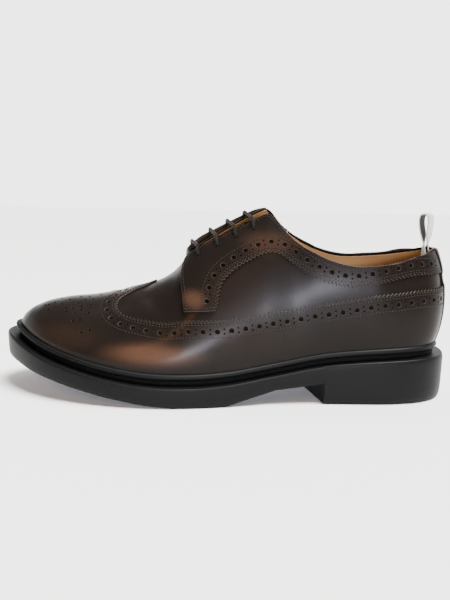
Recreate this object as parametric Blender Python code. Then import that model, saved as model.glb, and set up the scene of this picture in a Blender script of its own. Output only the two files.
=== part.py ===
"""Longwing derby brogue, one left shoe. Sizes in millimetres, built in metres.
Toe at -X, heel at +X, outer (lateral) side at -Y, floor at z = 0.
A place along the shoe is given by s, the distance from the back of the heel."""

import math
from collections import namedtuple

import bmesh
import bpy
import numpy as np
from mathutils import Vector

MM = 0.001
LENGTH = 305.0          # over the sole edges, a men's shoe of about EU 42
WALL = 2.2              # leather and lining of the upper
GAP = 0.3               # clearance between neighbouring pieces
FIT = 0.5               # clearance of the pieces inside the upper
OVER = 0.5              # lift of an overlay off the upper, for their different facets
BEAD = 8.2              # height of the welt bead above the ledge
BAND = 1.3              # thickness of the wing and of the collar band
TAB = 2.2               # thickness of the lace tab
FRONT_RISE = 1.2        # extra thickness at the front corner of the tab
INSOLE = 3.2
STRIP_HALF = 8.5        # half width of the strip over the back seam
STRIP_CLEAR = 1.0       # from that strip to the overlays beside it
STRIP_TOP = 100.2       # height of the strip's upper end
LATERAL, MEDIAL = -1, 1

# Foot of the upper seen from above.
Outline = namedtuple("Outline", "s y")
FEATHER_LATERAL = [Outline(*row) for row in (
    (14, -19), (30, -28.6), (55, -32.4), (90, -33.8), (125, -38.2), (160, -45.6),
    (190, -49.2), (220, -47.2), (250, -39), (272, -26.2), (286, -12))]
FEATHER_MEDIAL = [Outline(*row) for row in (
    (14, 19), (28, 27.8), (50, 31), (80, 29), (110, 27), (140, 29), (170, 35.6),
    (200, 42.6), (225, 45), (252, 41), (274, 31.6), (287, 21))]
HEEL_BACK = Outline(7, 0)
TOE_TIP = Outline(294.5, 6)

# Top edge of the outsole, and its bottom along both sides.
Level = namedtuple("Level", "s z")
SOLE_TOP = [Level(*row) for row in (
    (0, 30.4), (40, 29.6), (87, 25.6), (119, 19.6), (150, 14.8), (173, 13.6), (200, 14.2),
    (227, 17.4), (254, 22.8), (272, 27.2), (290, 32.6), (305, 37.8))]
SPRING_LATERAL = [Level(*row) for row in (
    (185, 0), (205, 2.1), (226, 5.6), (254, 11.2), (272, 15.2), (290, 20), (305, 24.4))]
SPRING_MEDIAL = [Level(*row) for row in (
    (210, 0), (226, 2), (254, 7.8), (272, 12.6), (290, 18.4), (305, 24.4))]
ARCH_LATERAL = [Level(*row) for row in ((90, 13), (119, 9.6), (136, 4.6), (151, 0))]
ARCH_MEDIAL = [Level(*row) for row in (
    (105, 14), (125, 13.4), (142, 11.4), (160, 7.8), (180, 3.2), (197, 0))]
# Where a line across the sole meets its two sides.
Across = namedtuple("Across", "lateral medial lines")
SOLE_LINES = [Across(*row) for row in (
    (86, 101, 10), (90, 105, 1), (151, 197, 7), (185, 210, 3), (305, 305, 13))]

# Ledge and bead widths round the foot of the upper.
Edge = namedtuple("Edge", "s bead ledge")
EDGES = [Edge(*row) for row in (
    (0, 2.8, 4.8), (40, 3, 3.8), (110, 3.2, 3.2), (190, 3.5, 3.8), (250, 3.9, 4.4), (305, 4.8, 5.8))]

# Ridge of the last, from above the heel to the toe tip.
Ridge = namedtuple("Ridge", "s y z tilt")
RIDGE = [Ridge(*row) for row in (
    (28, 0, 128, 0), (44, 0, 136, 0), (62, 0, 141, 0), (92, 0, 141, 0.05),
    (110, -0.5, 135, 0.1), (128, -1.5, 127, 0.16), (142, -1.5, 119.4, 0.18),
    (158, -1.5, 109.2, 0.18), (170, -1, 101, 0.17), (177, -0.5, 93.8, 0.13), (182, 0, 87.4, 0.1),
    (187, 0, 81.8, 0.08), (194, 0.5, 76.8, 0.06), (204, 1.5, 72, 0.05), (220, 2.5, 66.6, 0.04),
    (242, 3.5, 62, 0.03), (265, 4.5, 59.2, 0.02), (280, 5.2, 55.2, 0), (289, 5.7, 50.2, 0),
    (293.3, 5.9, 45.4, 0), (TOE_TIP.s, TOE_TIP.y, 42.2, 0))]

# Each section rises from its foot to the ridge on one Bezier curve.
Section = namedtuple("Section", "foot ridge out_low up_low out_high drop")
SECTIONS = {
    LATERAL: [Section(*row) for row in (
        (7, 28, 7, 17, 31, 30), (30, 44, 4, 18, 28, 14), (55, 60, 3.5, 20, 32, 14),
        (90, 92, 3, 20, 31, 11), (108, 110, 2.5, 20, 27, 6), (125, 128, 2, 20, 27, 0),
        (145, 147, 1.8, 20, 28, 0), (160, 161, 1.6, 20, 28.5, 0), (175, 174, 1.4, 19, 28.5, 0),
        (190, 187, 1.2, 17, 28, 0), (220, 214, 1.2, 15, 27, 0), (250, 244, 1.2, 12, 23, 0),
        (275, 270, 1, 9, 16, 0), (289, 287, 0.7, 5, 8, 0), (294.5, 294.5, 0, 0, 0, 0))],
    MEDIAL: [Section(*row) for row in (
        (7, 28, 7, 17, 31, 30), (28, 44, 4, 18, 28, 14), (50, 60, 4, 20, 32, 14),
        (80, 86, 6, 21, 32, 12), (110, 110, 8.5, 22, 29, 6), (135, 128, 10, 22, 27, 0),
        (160, 150, 8, 21, 27, 0), (185, 172, 4, 19, 27, 0), (205, 190, 2, 17, 27, 0),
        (228, 214, 1.4, 15, 26, 0), (255, 244, 1.2, 12, 24, 0), (277, 270, 1, 9, 17, 0),
        (290, 287, 0.7, 5, 9, 0), (294.5, 294.5, 0, 0, 0, 0))]}

# Height of the collar edge, then how far each facing edge stays from the middle of the throat.
COLLAR = {
    LATERAL: [Level(*row) for row in (
        (10, 101.4), (20, 98.2), (32, 94.6), (47, 91.8), (66, 90.4), (87, 95), (100, 101),
        (113, 111), (122, 120), (134, 133))],
    MEDIAL: [Level(*row) for row in (
        (10, 101.4), (20, 99), (32, 96.4), (47, 94.3), (66, 93.2), (87, 97.8), (100, 104),
        (113, 113.6), (122, 122), (134, 136))]}
Throat = namedtuple("Throat", "s lateral medial")
THROAT = [Throat(*row) for row in (
    (110, -9, 6), (128, -11, 8.5), (155, -11.5, 8.5), (170, -11.5, 8), (176.5, -10.5, 7.2),
    (180.5, -7, 5), (183, 0, 0.1))]
THROAT_END = 183.0

# Wing: foot on the welt, then its pinked edge by height, or by distance from the ridge at the peak.
Wing = namedtuple("Wing", "foot s z off")
WING = [Wing(*row) for row in (
    (30, 26, 75.4, None), (55, 50, 72.9, None), (90, 90, 66.2, None), (125, 125, 59.9, None),
    (160, 158, 55.2, None), (188, 184, 53.4, None), (212, 203, 53.2, None),
    (234, 216, 54.6, None), (252, 222.6, None, 26.5), (267, 223.4, None, 17.5),
    (279, 217, None, 9.5), (288, 208.5, None, 4), (294.5, 199.6, None, 0))]
WING_HEEL = 76.6

# Facing with its collar band: top edge, then lower pinked edge. The tab has heights of its own.
Facing = namedtuple("Facing", "s z low_s low_z")
FACING = [Facing(*row) for row in (
    (22, None, 24, 84.6), (36, None, 38, 82.6), (52, None, 54, 79), (68, None, 70, 77),
    (87, None, 86, 79.6), (102, None, 100, 85.8), (114, None, 111, 93), (124, None, 119, 97.4),
    (133, None, 127, 96.8), (145, None, 139, 90.8), (158, None, 149, 83.4),
    (169, None, 154, 76.6), (176.6, None, 155.6, 71), (179.4, 82, 156.2, 67.2),
    (179.2, 71, 156.6, 63.8), (178, 59.2, 158, 60.8))]
FACING_HEEL, FACING_TOP = 85.4, 96.5    # its lower and upper edge beside the strip at the back

TONGUE_THICK = 2.6
TONGUE_FREE = 138.0     # behind this the tongue no longer follows the facings
TONGUE_SQUARE = 1.6     # it sinks square to the facings this far, and then straight down
Tongue = namedtuple("Tongue", "s half sink")
TONGUE = [Tongue(*row) for row in (
    (206, 15, 0.9), (194, 19, 0.9), (184, 21, 0.9), (172, 22.5, 1.1), (158, 24, 1.6), (144, 25, 3),
    (130, 25, 7.5), (120, 24, 13.5), (112.5, 21, 19.5))]

LACE_RADIUS = 1.2
# Eyelets by their places along both facings, and how high the lace bar lies over the upper there.
Eyelet = namedtuple("Eyelet", "lateral medial over")
EYELETS = [Eyelet(*row) for row in (
    (168.6, 172.6, 6.2), (157, 161.4, 6.0), (145.4, 150, 5.4), (134, 138.8, 5.3))]
EYELET_BACK = 6.4       # from the facing edge to the middle of an eyelet
EYELET_RADIUS = 2.1

LOOP_WIDTH = 10.0
LOOP_THICK = 1.0
LOOP_TURN = -4.0        # degrees
LOOP_PIVOT = 14.6       # place along the shoe that it turns about
LOOP_STEPS = 25
LOOP = [Level(*row) for row in (
    (16, 92), (16.1, 100), (16.8, 108), (18.4, 115.5), (18.8, 120.5), (17.8, 123.4),
    (15.6, 124.2), (13.4, 123.2), (12.6, 120), (12.8, 114), (13.4, 107), (14, 100), (14.2, 92))]


def hermite(xs, ys, at):
    """Smooth value through the rows, level at both ends."""
    at = min(max(at, xs[0]), xs[-1])
    i = min(max(int(np.searchsorted(xs, at)) - 1, 0), len(xs) - 2)

    def slope(k):
        if k == 0 or k == len(xs) - 1:
            return 0.0
        left = (ys[k] - ys[k - 1]) / (xs[k] - xs[k - 1])
        right = (ys[k + 1] - ys[k]) / (xs[k + 1] - xs[k])
        if left * right <= 0:
            return 0.0
        share = (xs[k + 1] - xs[k]) / (xs[k + 1] - xs[k - 1])
        return left * share + right * (1 - share)

    h = xs[i + 1] - xs[i]
    u = (at - xs[i]) / h
    return ((1 + 2 * u) * (1 - u) ** 2 * ys[i] + u * (1 - u) ** 2 * h * slope(i)
            + u * u * (3 - 2 * u) * ys[i + 1] - u * u * (1 - u) * h * slope(i + 1))


def column(rows, name, at, key="s"):
    return hermite([getattr(r, key) for r in rows], [getattr(r, name) for r in rows], at)


def closed_curve(points, steps):
    """Dense closed curve with even bending through the points."""
    points = np.array(points, float)
    count = len(points)
    chord = np.linalg.norm(np.roll(points, -1, 0) - points, axis=1)
    system = np.zeros((count, count))
    right = np.zeros((count, 2))
    for i in range(count):
        before, after = chord[i - 1], chord[i]
        system[i, i - 1] = 1 / before
        system[i, i] = 2 / before + 2 / after
        system[i, (i + 1) % count] = 1 / after
        right[i] = 3 * ((points[i] - points[i - 1]) / before ** 2
                        + (points[(i + 1) % count] - points[i]) / after ** 2)
    slopes = np.linalg.solve(system, right)
    dense, marks = [], []
    for i in range(count):
        j = (i + 1) % count
        h = chord[i]
        marks.append(len(dense))
        for u in np.linspace(0, 1, steps, endpoint=False):
            dense.append((1 + 2 * u) * (1 - u) ** 2 * points[i] + u * (1 - u) ** 2 * h * slopes[i]
                         + u * u * (3 - 2 * u) * points[j] - u * u * (1 - u) * h * slopes[j])
    return np.array(dense), marks


class Foot:
    """Half of the outline, from the back of the heel (t = 0) to the toe tip (t = 1)."""

    def __init__(self, points, side):
        span = np.linalg.norm(np.diff(points, axis=0), axis=1)
        length = np.concatenate([[0], np.cumsum(span)])
        self.t = length / length[-1]
        self.points = points
        run = np.gradient(points, axis=0)
        run[0] = (0, side)
        run[-1] = (0, -side)
        run /= np.linalg.norm(run, axis=1)[:, None]
        self.normals = np.stack([-run[:, 1], run[:, 0]], axis=1) * side

    def at(self, t):
        return [np.interp(t, self.t, self.points[:, k]) for k in (0, 1)]

    def normal(self, t):
        n = np.array([np.interp(t, self.t, self.normals[:, k]) for k in (0, 1)])
        return n / np.linalg.norm(n)

    def t_at(self, s):
        return float(np.interp(s, self.points[:, 0], self.t))


def make_feet():
    ring = ([HEEL_BACK] + FEATHER_LATERAL + [TOE_TIP] + FEATHER_MEDIAL[::-1])
    dense, marks = closed_curve(ring, 60)
    tip = marks[len(FEATHER_LATERAL) + 1]
    back = np.concatenate([dense[tip:], dense[:1]])[::-1]
    return {LATERAL: Foot(dense[:tip + 1], LATERAL), MEDIAL: Foot(back, MEDIAL)}


FEET = make_feet()


def sole_top(s):
    return column(SOLE_TOP, "z", s)


def sole_edge(side, t):
    """Point of the outsole's edge beside the foot of the upper."""
    s, y = FEET[side].at(t)
    n = FEET[side].normal(t)
    out = column(EDGES, "bead", s) + column(EDGES, "ledge", s)
    return s + n[0] * out, y + n[1] * out


def side_spread():
    ys = [sole_edge(side, t)[1] for side in FEET for t in np.linspace(0, 1, 200)]
    return (min(ys) + max(ys)) / 2


MIDDLE = side_spread()
FRONT = sole_edge(LATERAL, 1.0)[0]
BACK = sole_edge(LATERAL, 0.0)[0]


def place(p):
    """Shoe place (s, y, z) to metres, with the origin under the middle."""
    s = (p[0] - BACK) * LENGTH / (FRONT - BACK)
    return Vector((LENGTH / 2 - s, p[1] - MIDDLE, p[2])) * MM


def smoothstep(a, b, x):
    u = min(max((x - a) / (b - a), 0), 1)
    return u * u * (3 - 2 * u)


def make_section_rows():
    rows = {}
    for side, table in SECTIONS.items():
        ts = [FEET[side].t_at(r.foot) for r in table]
        ts[-1] = 1.0
        rows[side] = (ts, {n: [getattr(r, n) for r in table] for n in Section._fields})
    return rows


SECTION_ROWS = make_section_rows()
SEEN = {}


def section(side, t):
    """Four Bezier points of one section."""
    key = (side, round(t, 7))
    if key in SEEN:
        return SEEN[key]
    ts, cols = SECTION_ROWS[side]
    value = {n: hermite(ts, cols[n], t) for n in Section._fields}
    s, y = FEET[side].at(t)
    n = FEET[side].normal(t)
    foot = np.array([s, y, sole_top(s) + BEAD])
    ridge_s = value["ridge"]
    ridge = np.array([ridge_s, column(RIDGE, "y", ridge_s), column(RIDGE, "z", ridge_s)])
    turn = smoothstep(20, 110, s)
    out = np.array([n[0] * (1 - turn), n[1] * (1 - turn) + side * turn])
    out /= np.linalg.norm(out)
    low = foot + np.array([*(n * value["out_low"]), value["up_low"]])
    tilt = -side * column(RIDGE, "tilt", ridge_s) * value["out_high"]
    high = ridge + np.array([*(out * value["out_high"]), -value["drop"] - tilt])
    SEEN[key] = (foot, low, high, ridge)
    return SEEN[key]


def point(side, t, b):
    p0, p1, p2, p3 = section(side, t)
    a = 1 - b
    return a ** 3 * p0 + 3 * a * a * b * p1 + 3 * a * b * b * p2 + b ** 3 * p3


def rise_to(side, t, axis, goal):
    """Share b of a section where its height (axis 2) or width (axis 1) reaches the goal."""
    sign = 1 if axis == 2 else -side
    lo, hi = (0.0, 1.0) if axis == 2 else (0.25, 1.0)
    for _ in range(40):
        mid = (lo + hi) / 2
        if sign * point(side, t, mid)[axis] < sign * goal:
            lo = mid
        else:
            hi = mid
    return (lo + hi) / 2


def find(side, s, axis, goal):
    """Section and share of the surface point at place s with the given height or width."""
    lo, hi = 0.0, 1.0
    for _ in range(34):
        mid = (lo + hi) / 2
        if point(side, mid, rise_to(side, mid, axis, goal))[0] < s:
            lo = mid
        else:
            hi = mid
    t = (lo + hi) / 2
    return t, rise_to(side, t, axis, goal)


def top_share(side, t):
    """Share of the section where the upper ends: collar, facing edge or ridge."""
    s = section(side, t)[3][0]
    if s >= THROAT_END:
        return 1.0
    collar = 1.0
    if s < 145:
        b = 0.7
        for _ in range(8):
            b = rise_to(side, t, 2, column(COLLAR[side], "z", point(side, t, b)[0]))
        collar = b
    if s < 105:
        return collar
    edge = rise_to(side, t, 1, column(THROAT, "lateral" if side == LATERAL else "medial", s)
                   + column(RIDGE, "y", s))
    low = min(collar, edge)
    return low - 0.012 * math.exp(-abs(collar - edge) / 0.03)


def top_at(side, s):
    """Section whose upper end lies at place s."""
    lo, hi = 0.0, 1.0
    for _ in range(30):
        mid = (lo + hi) / 2
        if point(side, mid, top_share(side, mid))[0] < s:
            lo = mid
        else:
            hi = mid
    t = (lo + hi) / 2
    return t, top_share(side, t)


def material(name, hex_colour, rough):
    m = bpy.data.materials.new(name)
    m.use_nodes = True
    shader = m.node_tree.nodes["Principled BSDF"]
    channels = [int(hex_colour[i:i + 2], 16) / 255 for i in (1, 3, 5)]
    linear = [c / 12.92 if c <= 0.04045 else ((c + 0.055) / 1.055) ** 2.4 for c in channels]
    shader.inputs["Base Color"].default_value = (*linear, 1)
    shader.inputs["Roughness"].default_value = rough
    return m


def add_object(name, verts, faces, finish):
    mesh = bpy.data.meshes.new(name)
    mesh.from_pydata([tuple(v) for v in verts], [], faces)
    mesh.update()
    bm = bmesh.new()
    bm.from_mesh(mesh)
    bmesh.ops.remove_doubles(bm, verts=bm.verts, dist=0.00002)
    bmesh.ops.recalc_face_normals(bm, faces=bm.faces)
    if bm.calc_volume(signed=True) < 0:
        bmesh.ops.reverse_faces(bm, faces=bm.faces)
    bm.to_mesh(mesh)
    bm.free()
    obj = bpy.data.objects.new(name, mesh)
    bpy.context.collection.objects.link(obj)
    mesh.materials.append(finish)
    return obj


def sheet_normals(points, faces):
    normals = np.zeros_like(points)
    for f in faces:
        corners = points[list(f)]
        n = np.zeros(3)
        for i in range(len(f)):
            n += np.cross(corners[i], corners[(i + 1) % len(f)])
        for i in f:
            normals[i] += n
    return normals / np.maximum(np.linalg.norm(normals, axis=1), 1e-9)[:, None]


def thick_sheet(name, points, faces, inner, outer, finish):
    """Closed wall between two offsets of a sheet whose faces look outward."""
    points = np.array(points, float)
    points[:, 0] = (points[:, 0] - BACK) * LENGTH / (FRONT - BACK)
    flipped = points * np.array([-1, 1, 1])
    normals = sheet_normals(flipped, faces)
    inner = np.broadcast_to(inner, len(points))[:, None]
    outer = np.broadcast_to(outer, len(points))[:, None]
    shift = np.array([LENGTH / 2, -MIDDLE, 0])
    skin = (flipped + normals * outer + shift) * MM
    lining = (flipped + normals * inner + shift) * MM
    count = len(points)
    solid = [tuple(f) for f in faces] + [tuple(i + count for i in reversed(f)) for f in faces]
    edges = {}
    for f in faces:
        for a, b in zip(f, f[1:] + f[:1]):
            edges[(a, b)] = True
    for a, b in edges:
        if (b, a) not in edges:
            solid.append((b, a, a + count, b + count))
    return add_object(name, np.concatenate([skin, lining]), solid, finish)


def grid_faces(index, columns, rows, flip):
    faces = []
    for i in range(columns - 1):
        for j in range(rows - 1):
            loop = [index[i][j], index[i + 1][j], index[i + 1][j + 1], index[i][j + 1]]
            short = []
            for k in loop:
                if k not in short:
                    short.append(k)
            if len(short) > 2:
                faces.append(tuple(reversed(short)) if flip else tuple(short))
    return faces


def upper_stations(side):
    """Sections of the upper, closer at the heel, throat and toe."""
    foot = FEET[side]
    marks = [(0, 6), (32, 12), (112, 10), (166, 8), (196, 6), (248, 6), (284, 5)]
    ends = [m[0] for m in marks[1:]] + [None]
    stations = []
    for (start, lines), end in zip(marks, ends):
        a = 0.0 if start == 0 else foot.t_at(start)
        b = 1.0 if end is None else foot.t_at(end)
        stations += [a + (b - a) * k / lines for k in range(lines)]
    return stations + [1.0]


UPPER_ROWS = 7


def build_upper(finish):
    points, faces = [], []
    seam = {}

    def keep(key, p):
        if key is not None and key in seam:
            return seam[key]
        points.append(p)
        if key is not None:
            seam[key] = len(points) - 1
        return len(points) - 1

    for side in (LATERAL, MEDIAL):
        index = []
        stations = upper_stations(side)
        for i, t in enumerate(stations):
            top = top_share(side, t)
            rows = []
            s, y = FEET[side].at(t)
            ends = i == 0 or i == len(stations) - 1
            rows.append(keep(("skirt", i) if ends else None,
                             np.array([s, y, sole_top(s) + GAP])))
            for j in range(UPPER_ROWS + 1):
                b = top * j / UPPER_ROWS
                key = None
                if i == 0:
                    key = ("back", j)
                elif i == len(stations) - 1:
                    key = "tip"
                elif top == 1.0 and j == UPPER_ROWS:
                    key = ("ridge", i)
                rows.append(keep(key, point(side, t, b)))
            index.append(rows)
        faces += grid_faces(index, len(stations), UPPER_ROWS + 2, side == LATERAL)
    return thick_sheet("upper", points, faces, -WALL, 0.0, finish)


def line_through(rows):
    """Smooth (t, b) line through rows, over a share of 0 to 1 by row."""
    def at(share):
        u = share * (len(rows) - 1)
        return catmull([r[0] for r in rows], u), catmull([r[1] for r in rows], u)
    return at


def catmull(ys, u):
    """Smooth value through evenly spaced ones, at place u of their count."""
    i = min(int(u), len(ys) - 2)
    f = u - i
    p1, p2 = ys[i], ys[i + 1]
    p0 = ys[i - 1] if i > 0 else 2 * p1 - p2
    p3 = ys[i + 2] if i + 2 < len(ys) else 2 * p2 - p1
    cubic = 3 * (p1 - p2) + p3 - p0
    square = 2 * p0 - 5 * p1 + 4 * p2 - p3
    return p1 + 0.5 * f * (p2 - p0 + f * (square + f * cubic))


def back_section(side, z, half):
    """Section near the back of the heel that is half wide at height z."""
    lo, hi = 0.0, 0.25
    for _ in range(34):
        mid = (lo + hi) / 2
        if abs(point(side, mid, rise_to(side, mid, 2, z))[1]) < half:
            lo = mid
        else:
            hi = mid
    t = (lo + hi) / 2 if half else 0.0
    return t, rise_to(side, t, 2, z)


def strip_side(side, z):
    """Where an overlay ends beside the strip over the back seam."""
    return back_section(side, z, STRIP_HALF + STRIP_CLEAR)


def wing_lines(side):
    feet = [strip_side(side, sole_top(HEEL_BACK.s) + BEAD)[0]]
    edges = [strip_side(side, WING_HEEL)]
    for row in WING:
        feet.append(1.0 if row.foot >= TOE_TIP.s else FEET[side].t_at(row.foot))
        if row.off == 0:
            t, _ = find(side, row.s, 2, column(RIDGE, "z", row.s) - 0.4)
            edges.append((t, 1.0))
        elif row.off:
            edges.append(find(side, row.s, 1, column(RIDGE, "y", row.s) + side * row.off))
        else:
            edges.append(find(side, row.s, 2, row.z))
    return line_through([(t, 0.0) for t in feet]), line_through(edges)


WING_LINES = (5, 3, 3, 2, 2, 2, 2, 2, 3, 3, 3, 3, 3)   # columns between the rows of the table
WING_ROWS = 7


TOE_LIFT, HEEL_LIFT = 0.8, 0.3     # more room under the wing where the upper turns tightly


def wing_place(a, v, low, high):
    """Section and share of the wing at a along it and v up it, fanned round the toe."""
    if a >= 1.0 and v > 0:
        return 1.0 - (1.0 - high[0]) * v ** 1.5, 1.0
    turn = smoothstep(0.7, 1.0, a)
    clear = 0.02 * (1 - v)
    t = low[0] + (high[0] - low[0]) * v ** (1 + 0.5 * turn)
    b = clear + high[1] * v ** (1 - 0.75 * turn ** 2) if v else clear
    return t, min(b, 1.0)


def build_wing(finish):
    points, faces, shared, lifts = [], [], {}, []
    spans = [(k / len(WING), lines) for k, lines in enumerate(WING_LINES)]
    shares = [start + k / lines / len(WING) for start, lines in spans for k in range(lines)] + [1.0]
    for side in (LATERAL, MEDIAL):
        low, high = wing_lines(side)
        index = []
        for a in shares:
            lift = OVER + TOE_LIFT * smoothstep(0.7, 0.9, a) + HEEL_LIFT * smoothstep(0.12, 0, a)
            rows = []
            for j in range(WING_ROWS):
                if a == 1.0 and j in shared:
                    rows.append(shared[j])
                    continue
                t, b = wing_place(a, j / (WING_ROWS - 1), low(a), high(a))
                p = point(side, t, b)
                if a == 1.0:
                    shared[j] = len(points)
                    if j == 0:
                        p = point(side, 1.0, b) + np.array([0, 0, GAP])
                rows.append(len(points))
                points.append(p)
                lifts.append(lift)
            index.append(rows)
        faces += grid_faces(index, len(shares), WING_ROWS, side == LATERAL)
    lifts = np.array(lifts)
    return thick_sheet("wing", points, faces, lifts, lifts + BAND, finish)


def facing_lines(side):
    start = strip_side(side, FACING_TOP)
    high = [(start[0], top_share(side, start[0]))]
    low = [strip_side(side, FACING_HEEL)]
    for row in FACING:
        high.append(top_at(side, row.s) if row.z is None else find(side, row.s, 2, row.z))
        low.append(find(side, row.low_s, 2, row.low_z))
    return line_through(low), line_through(high)


FACING_COLUMNS, FACING_ROWS = 38, 5
TAB_LIFT = 0.5          # more room under the tab


def build_facing(side, name, finish):
    low, high = facing_lines(side)
    points, index, inner, outer = [], [], [], []
    for i in range(FACING_COLUMNS):
        a = i / (FACING_COLUMNS - 1)
        (t0, b0), (t1, b1) = low(a), high(a)
        lift = OVER + TAB_LIFT * smoothstep(0.62, 0.74, a)
        thick = BAND + (TAB - BAND) * smoothstep(0.45, 0.8, a)
        rise = FRONT_RISE * smoothstep(0.6, 0.75, a)
        line = []
        for j in range(FACING_ROWS):
            v = j / (FACING_ROWS - 1)
            line.append(len(points))
            points.append(point(side, t0 + (t1 - t0) * v, b0 + (b1 - b0) * v))
            inner.append(lift)
            outer.append(lift + thick + rise * v * v)
        index.append(line)
    faces = grid_faces(index, FACING_COLUMNS, FACING_ROWS, side == LATERAL)
    return thick_sheet(name, points, faces, np.array(inner), np.array(outer), finish)


def build_heel_strip(finish):
    points, index = [], []
    rows = 9
    shares = (-1, -0.5, 0, 0.5, 1)
    low = sole_top(HEEL_BACK.s) + BEAD + 2 * GAP
    for share in shares:
        side = LATERAL if share < 0 else MEDIAL
        line = []
        for j in range(rows):
            z = low + (STRIP_TOP - low) * j / (rows - 1)
            t, b = back_section(side, z, abs(share) * STRIP_HALF)
            line.append(len(points))
            points.append(point(side, t, min(b, top_share(side, t))))
        index.append(line)
    faces = grid_faces(index, len(shares), rows, False)
    return thick_sheet("heel_strip", points, faces, OVER, OVER + BAND, finish)


def ring_object(name, sections, finish):
    """Closed ring from equal sections."""
    count, size = len(sections), len(sections[0])
    verts = [place(p) for sec in sections for p in sec]
    faces = []
    for i in range(count):
        for j in range(size):
            k = (j + 1) % size
            n = (i + 1) % count
            faces.append((i * size + j, n * size + j, n * size + k, i * size + k))
    return add_object(name, verts, faces, finish)


def build_welt(finish):
    sections = []
    around = [(LATERAL, t) for t in upper_stations(LATERAL)]
    around += [(MEDIAL, t) for t in upper_stations(MEDIAL)[-2:0:-1]]
    for number, (side, t) in enumerate(around):
        s, y = FEET[side].at(t)
        if 45 < s < 185 and number % 2:
            continue
        n = FEET[side].normal(t)
        wide = column(EDGES, "bead", s)
        shape = ((GAP, GAP), (wide - 0.8, GAP), (wide, 4.4), (wide - 0.4, 6.2),
                 (wide - 1.4, 7.4), (GAP, 7.9))
        sections.append([(s + n[0] * out, y + n[1] * out, sole_top(s + n[0] * out) + up)
                         for out, up in shape])
    return ring_object("welt", sections, finish)


def sole_stations():
    """Pairs of places on the two sides that a line across the sole joins."""
    pairs = []
    last = (0.0, 0.0)
    for row in SOLE_LINES:
        ends = []
        for side, s in ((LATERAL, row.lateral), (MEDIAL, row.medial)):
            ends.append(1.0 if s >= LENGTH else FEET[side].t_at(s))
        for k in range(row.lines):
            share = k / row.lines
            if row is SOLE_LINES[0]:
                share = share ** 1.5
            elif row is SOLE_LINES[-1]:
                share = 1 - (1 - share) ** 1.5
            pairs.append(tuple(a + (b - a) * share for a, b in zip(last, ends)))
        last = ends
    return pairs + [(1.0, 1.0)]


HEEL_LINES = SOLE_LINES[0].lines


def sole_bottom(side, s, line):
    if line <= HEEL_LINES:
        return 0.0
    arch, spring = ((ARCH_LATERAL, SPRING_LATERAL) if side == LATERAL
                    else (ARCH_MEDIAL, SPRING_MEDIAL))
    if s <= arch[-1].s + 0.01:
        return max(np.interp(s, [r.s for r in arch], [r.z for r in arch]), 0.0)
    if s <= spring[0].s + 0.01:
        return 0.0
    return float(np.interp(s, [r.s for r in spring], [r.z for r in spring]))


# Wall of the outsole from its top edge to its bottom edge.
Step = namedtuple("Step", "inset share")
SOLE_WALL = [Step(*row) for row in (
    (1.0, 1.0), (0.2, 0.96), (0, 0.86), (0.3, 0.3), (1.2, 0.07), (2.8, 0.0))]
COLUMNS = (0.25, 0.5, 0.75)     # shares across the sole


def build_outsole(finish):
    pairs = sole_stations()
    verts, faces = [], []
    walls = {LATERAL: [], MEDIAL: []}
    for line, pair in enumerate(pairs):
        for side, t in zip((LATERAL, MEDIAL), pair):
            if side == MEDIAL and line in (0, len(pairs) - 1):
                walls[MEDIAL].append(walls[LATERAL][line])
                continue
            s, y = sole_edge(side, t)
            n = FEET[side].normal(t)
            own = FEET[side].at(t)[0]
            top = sole_top(s)
            bottom = sole_bottom(side, own, line)
            ring = []
            for step in SOLE_WALL:
                verts.append(place((s - n[0] * step.inset, y - n[1] * step.inset,
                                    bottom + (top - bottom) * step.share)))
                ring.append(len(verts) - 1)
            walls[side].append(ring)
    for side in walls:
        for a, b in zip(walls[side], walls[side][1:]):
            for j in range(len(SOLE_WALL) - 1):
                faces.append((a[j], b[j], b[j + 1], a[j + 1]))
    for level in (0, len(SOLE_WALL) - 1):
        rows = []
        for line in range(len(pairs)):
            left, right = walls[LATERAL][line][level], walls[MEDIAL][line][level]
            row = [left]
            if left != right:
                for share in COLUMNS:
                    p = verts[left].lerp(verts[right], share)
                    if level == 0:
                        p.z = sole_top((LENGTH / 2 - p.x / MM) * (FRONT - BACK) / LENGTH + BACK) * MM
                    verts.append(p)
                    row.append(len(verts) - 1)
                row.append(right)
            rows.append(row)
        for a, b in zip(rows, rows[1:]):
            wide, thin = (a, b) if len(a) > 1 else (b, a)
            for k in range(len(wide) - 1):
                if len(a) == len(b):
                    faces.append((a[k], a[k + 1], b[k + 1], b[k]))
                else:
                    faces.append((wide[k], wide[k + 1], thin[0]))
    return add_object("outsole", verts, faces, finish)


def build_insole(finish):
    verts, faces, rims = [], [], []
    stations = {side: upper_stations(side)[1:-1] for side in FEET}
    clear = WALL + FIT
    for lift in (FIT, FIT + INSOLE):
        rows = []
        for t0, t1 in zip(stations[LATERAL], stations[MEDIAL]):
            ends = []
            for side, t in ((LATERAL, t0), (MEDIAL, t1)):
                s, y = FEET[side].at(t)
                n = FEET[side].normal(t)
                ends.append((s - n[0] * clear, y - n[1] * clear))
            row = []
            for share in (0, 0.5, 1):
                s = ends[0][0] + (ends[1][0] - ends[0][0]) * share
                y = ends[0][1] + (ends[1][1] - ends[0][1]) * share
                verts.append(place((s, y, sole_top(s) + lift)))
                row.append(len(verts) - 1)
            rows.append(row)
        rims.append([r[0] for r in rows] + rows[-1][1:] + [r[-1] for r in rows[-2::-1]]
                    + rows[0][-2:0:-1])
        for a, b in zip(rows, rows[1:]):
            for k in range(len(a) - 1):
                faces.append((a[k], a[k + 1], b[k + 1], b[k]))
    low, high = rims
    for i in range(len(low)):
        j = (i + 1) % len(low)
        faces.append((low[i], low[j], high[j], high[i]))
    return add_object("insole", verts, faces, finish)


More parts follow.
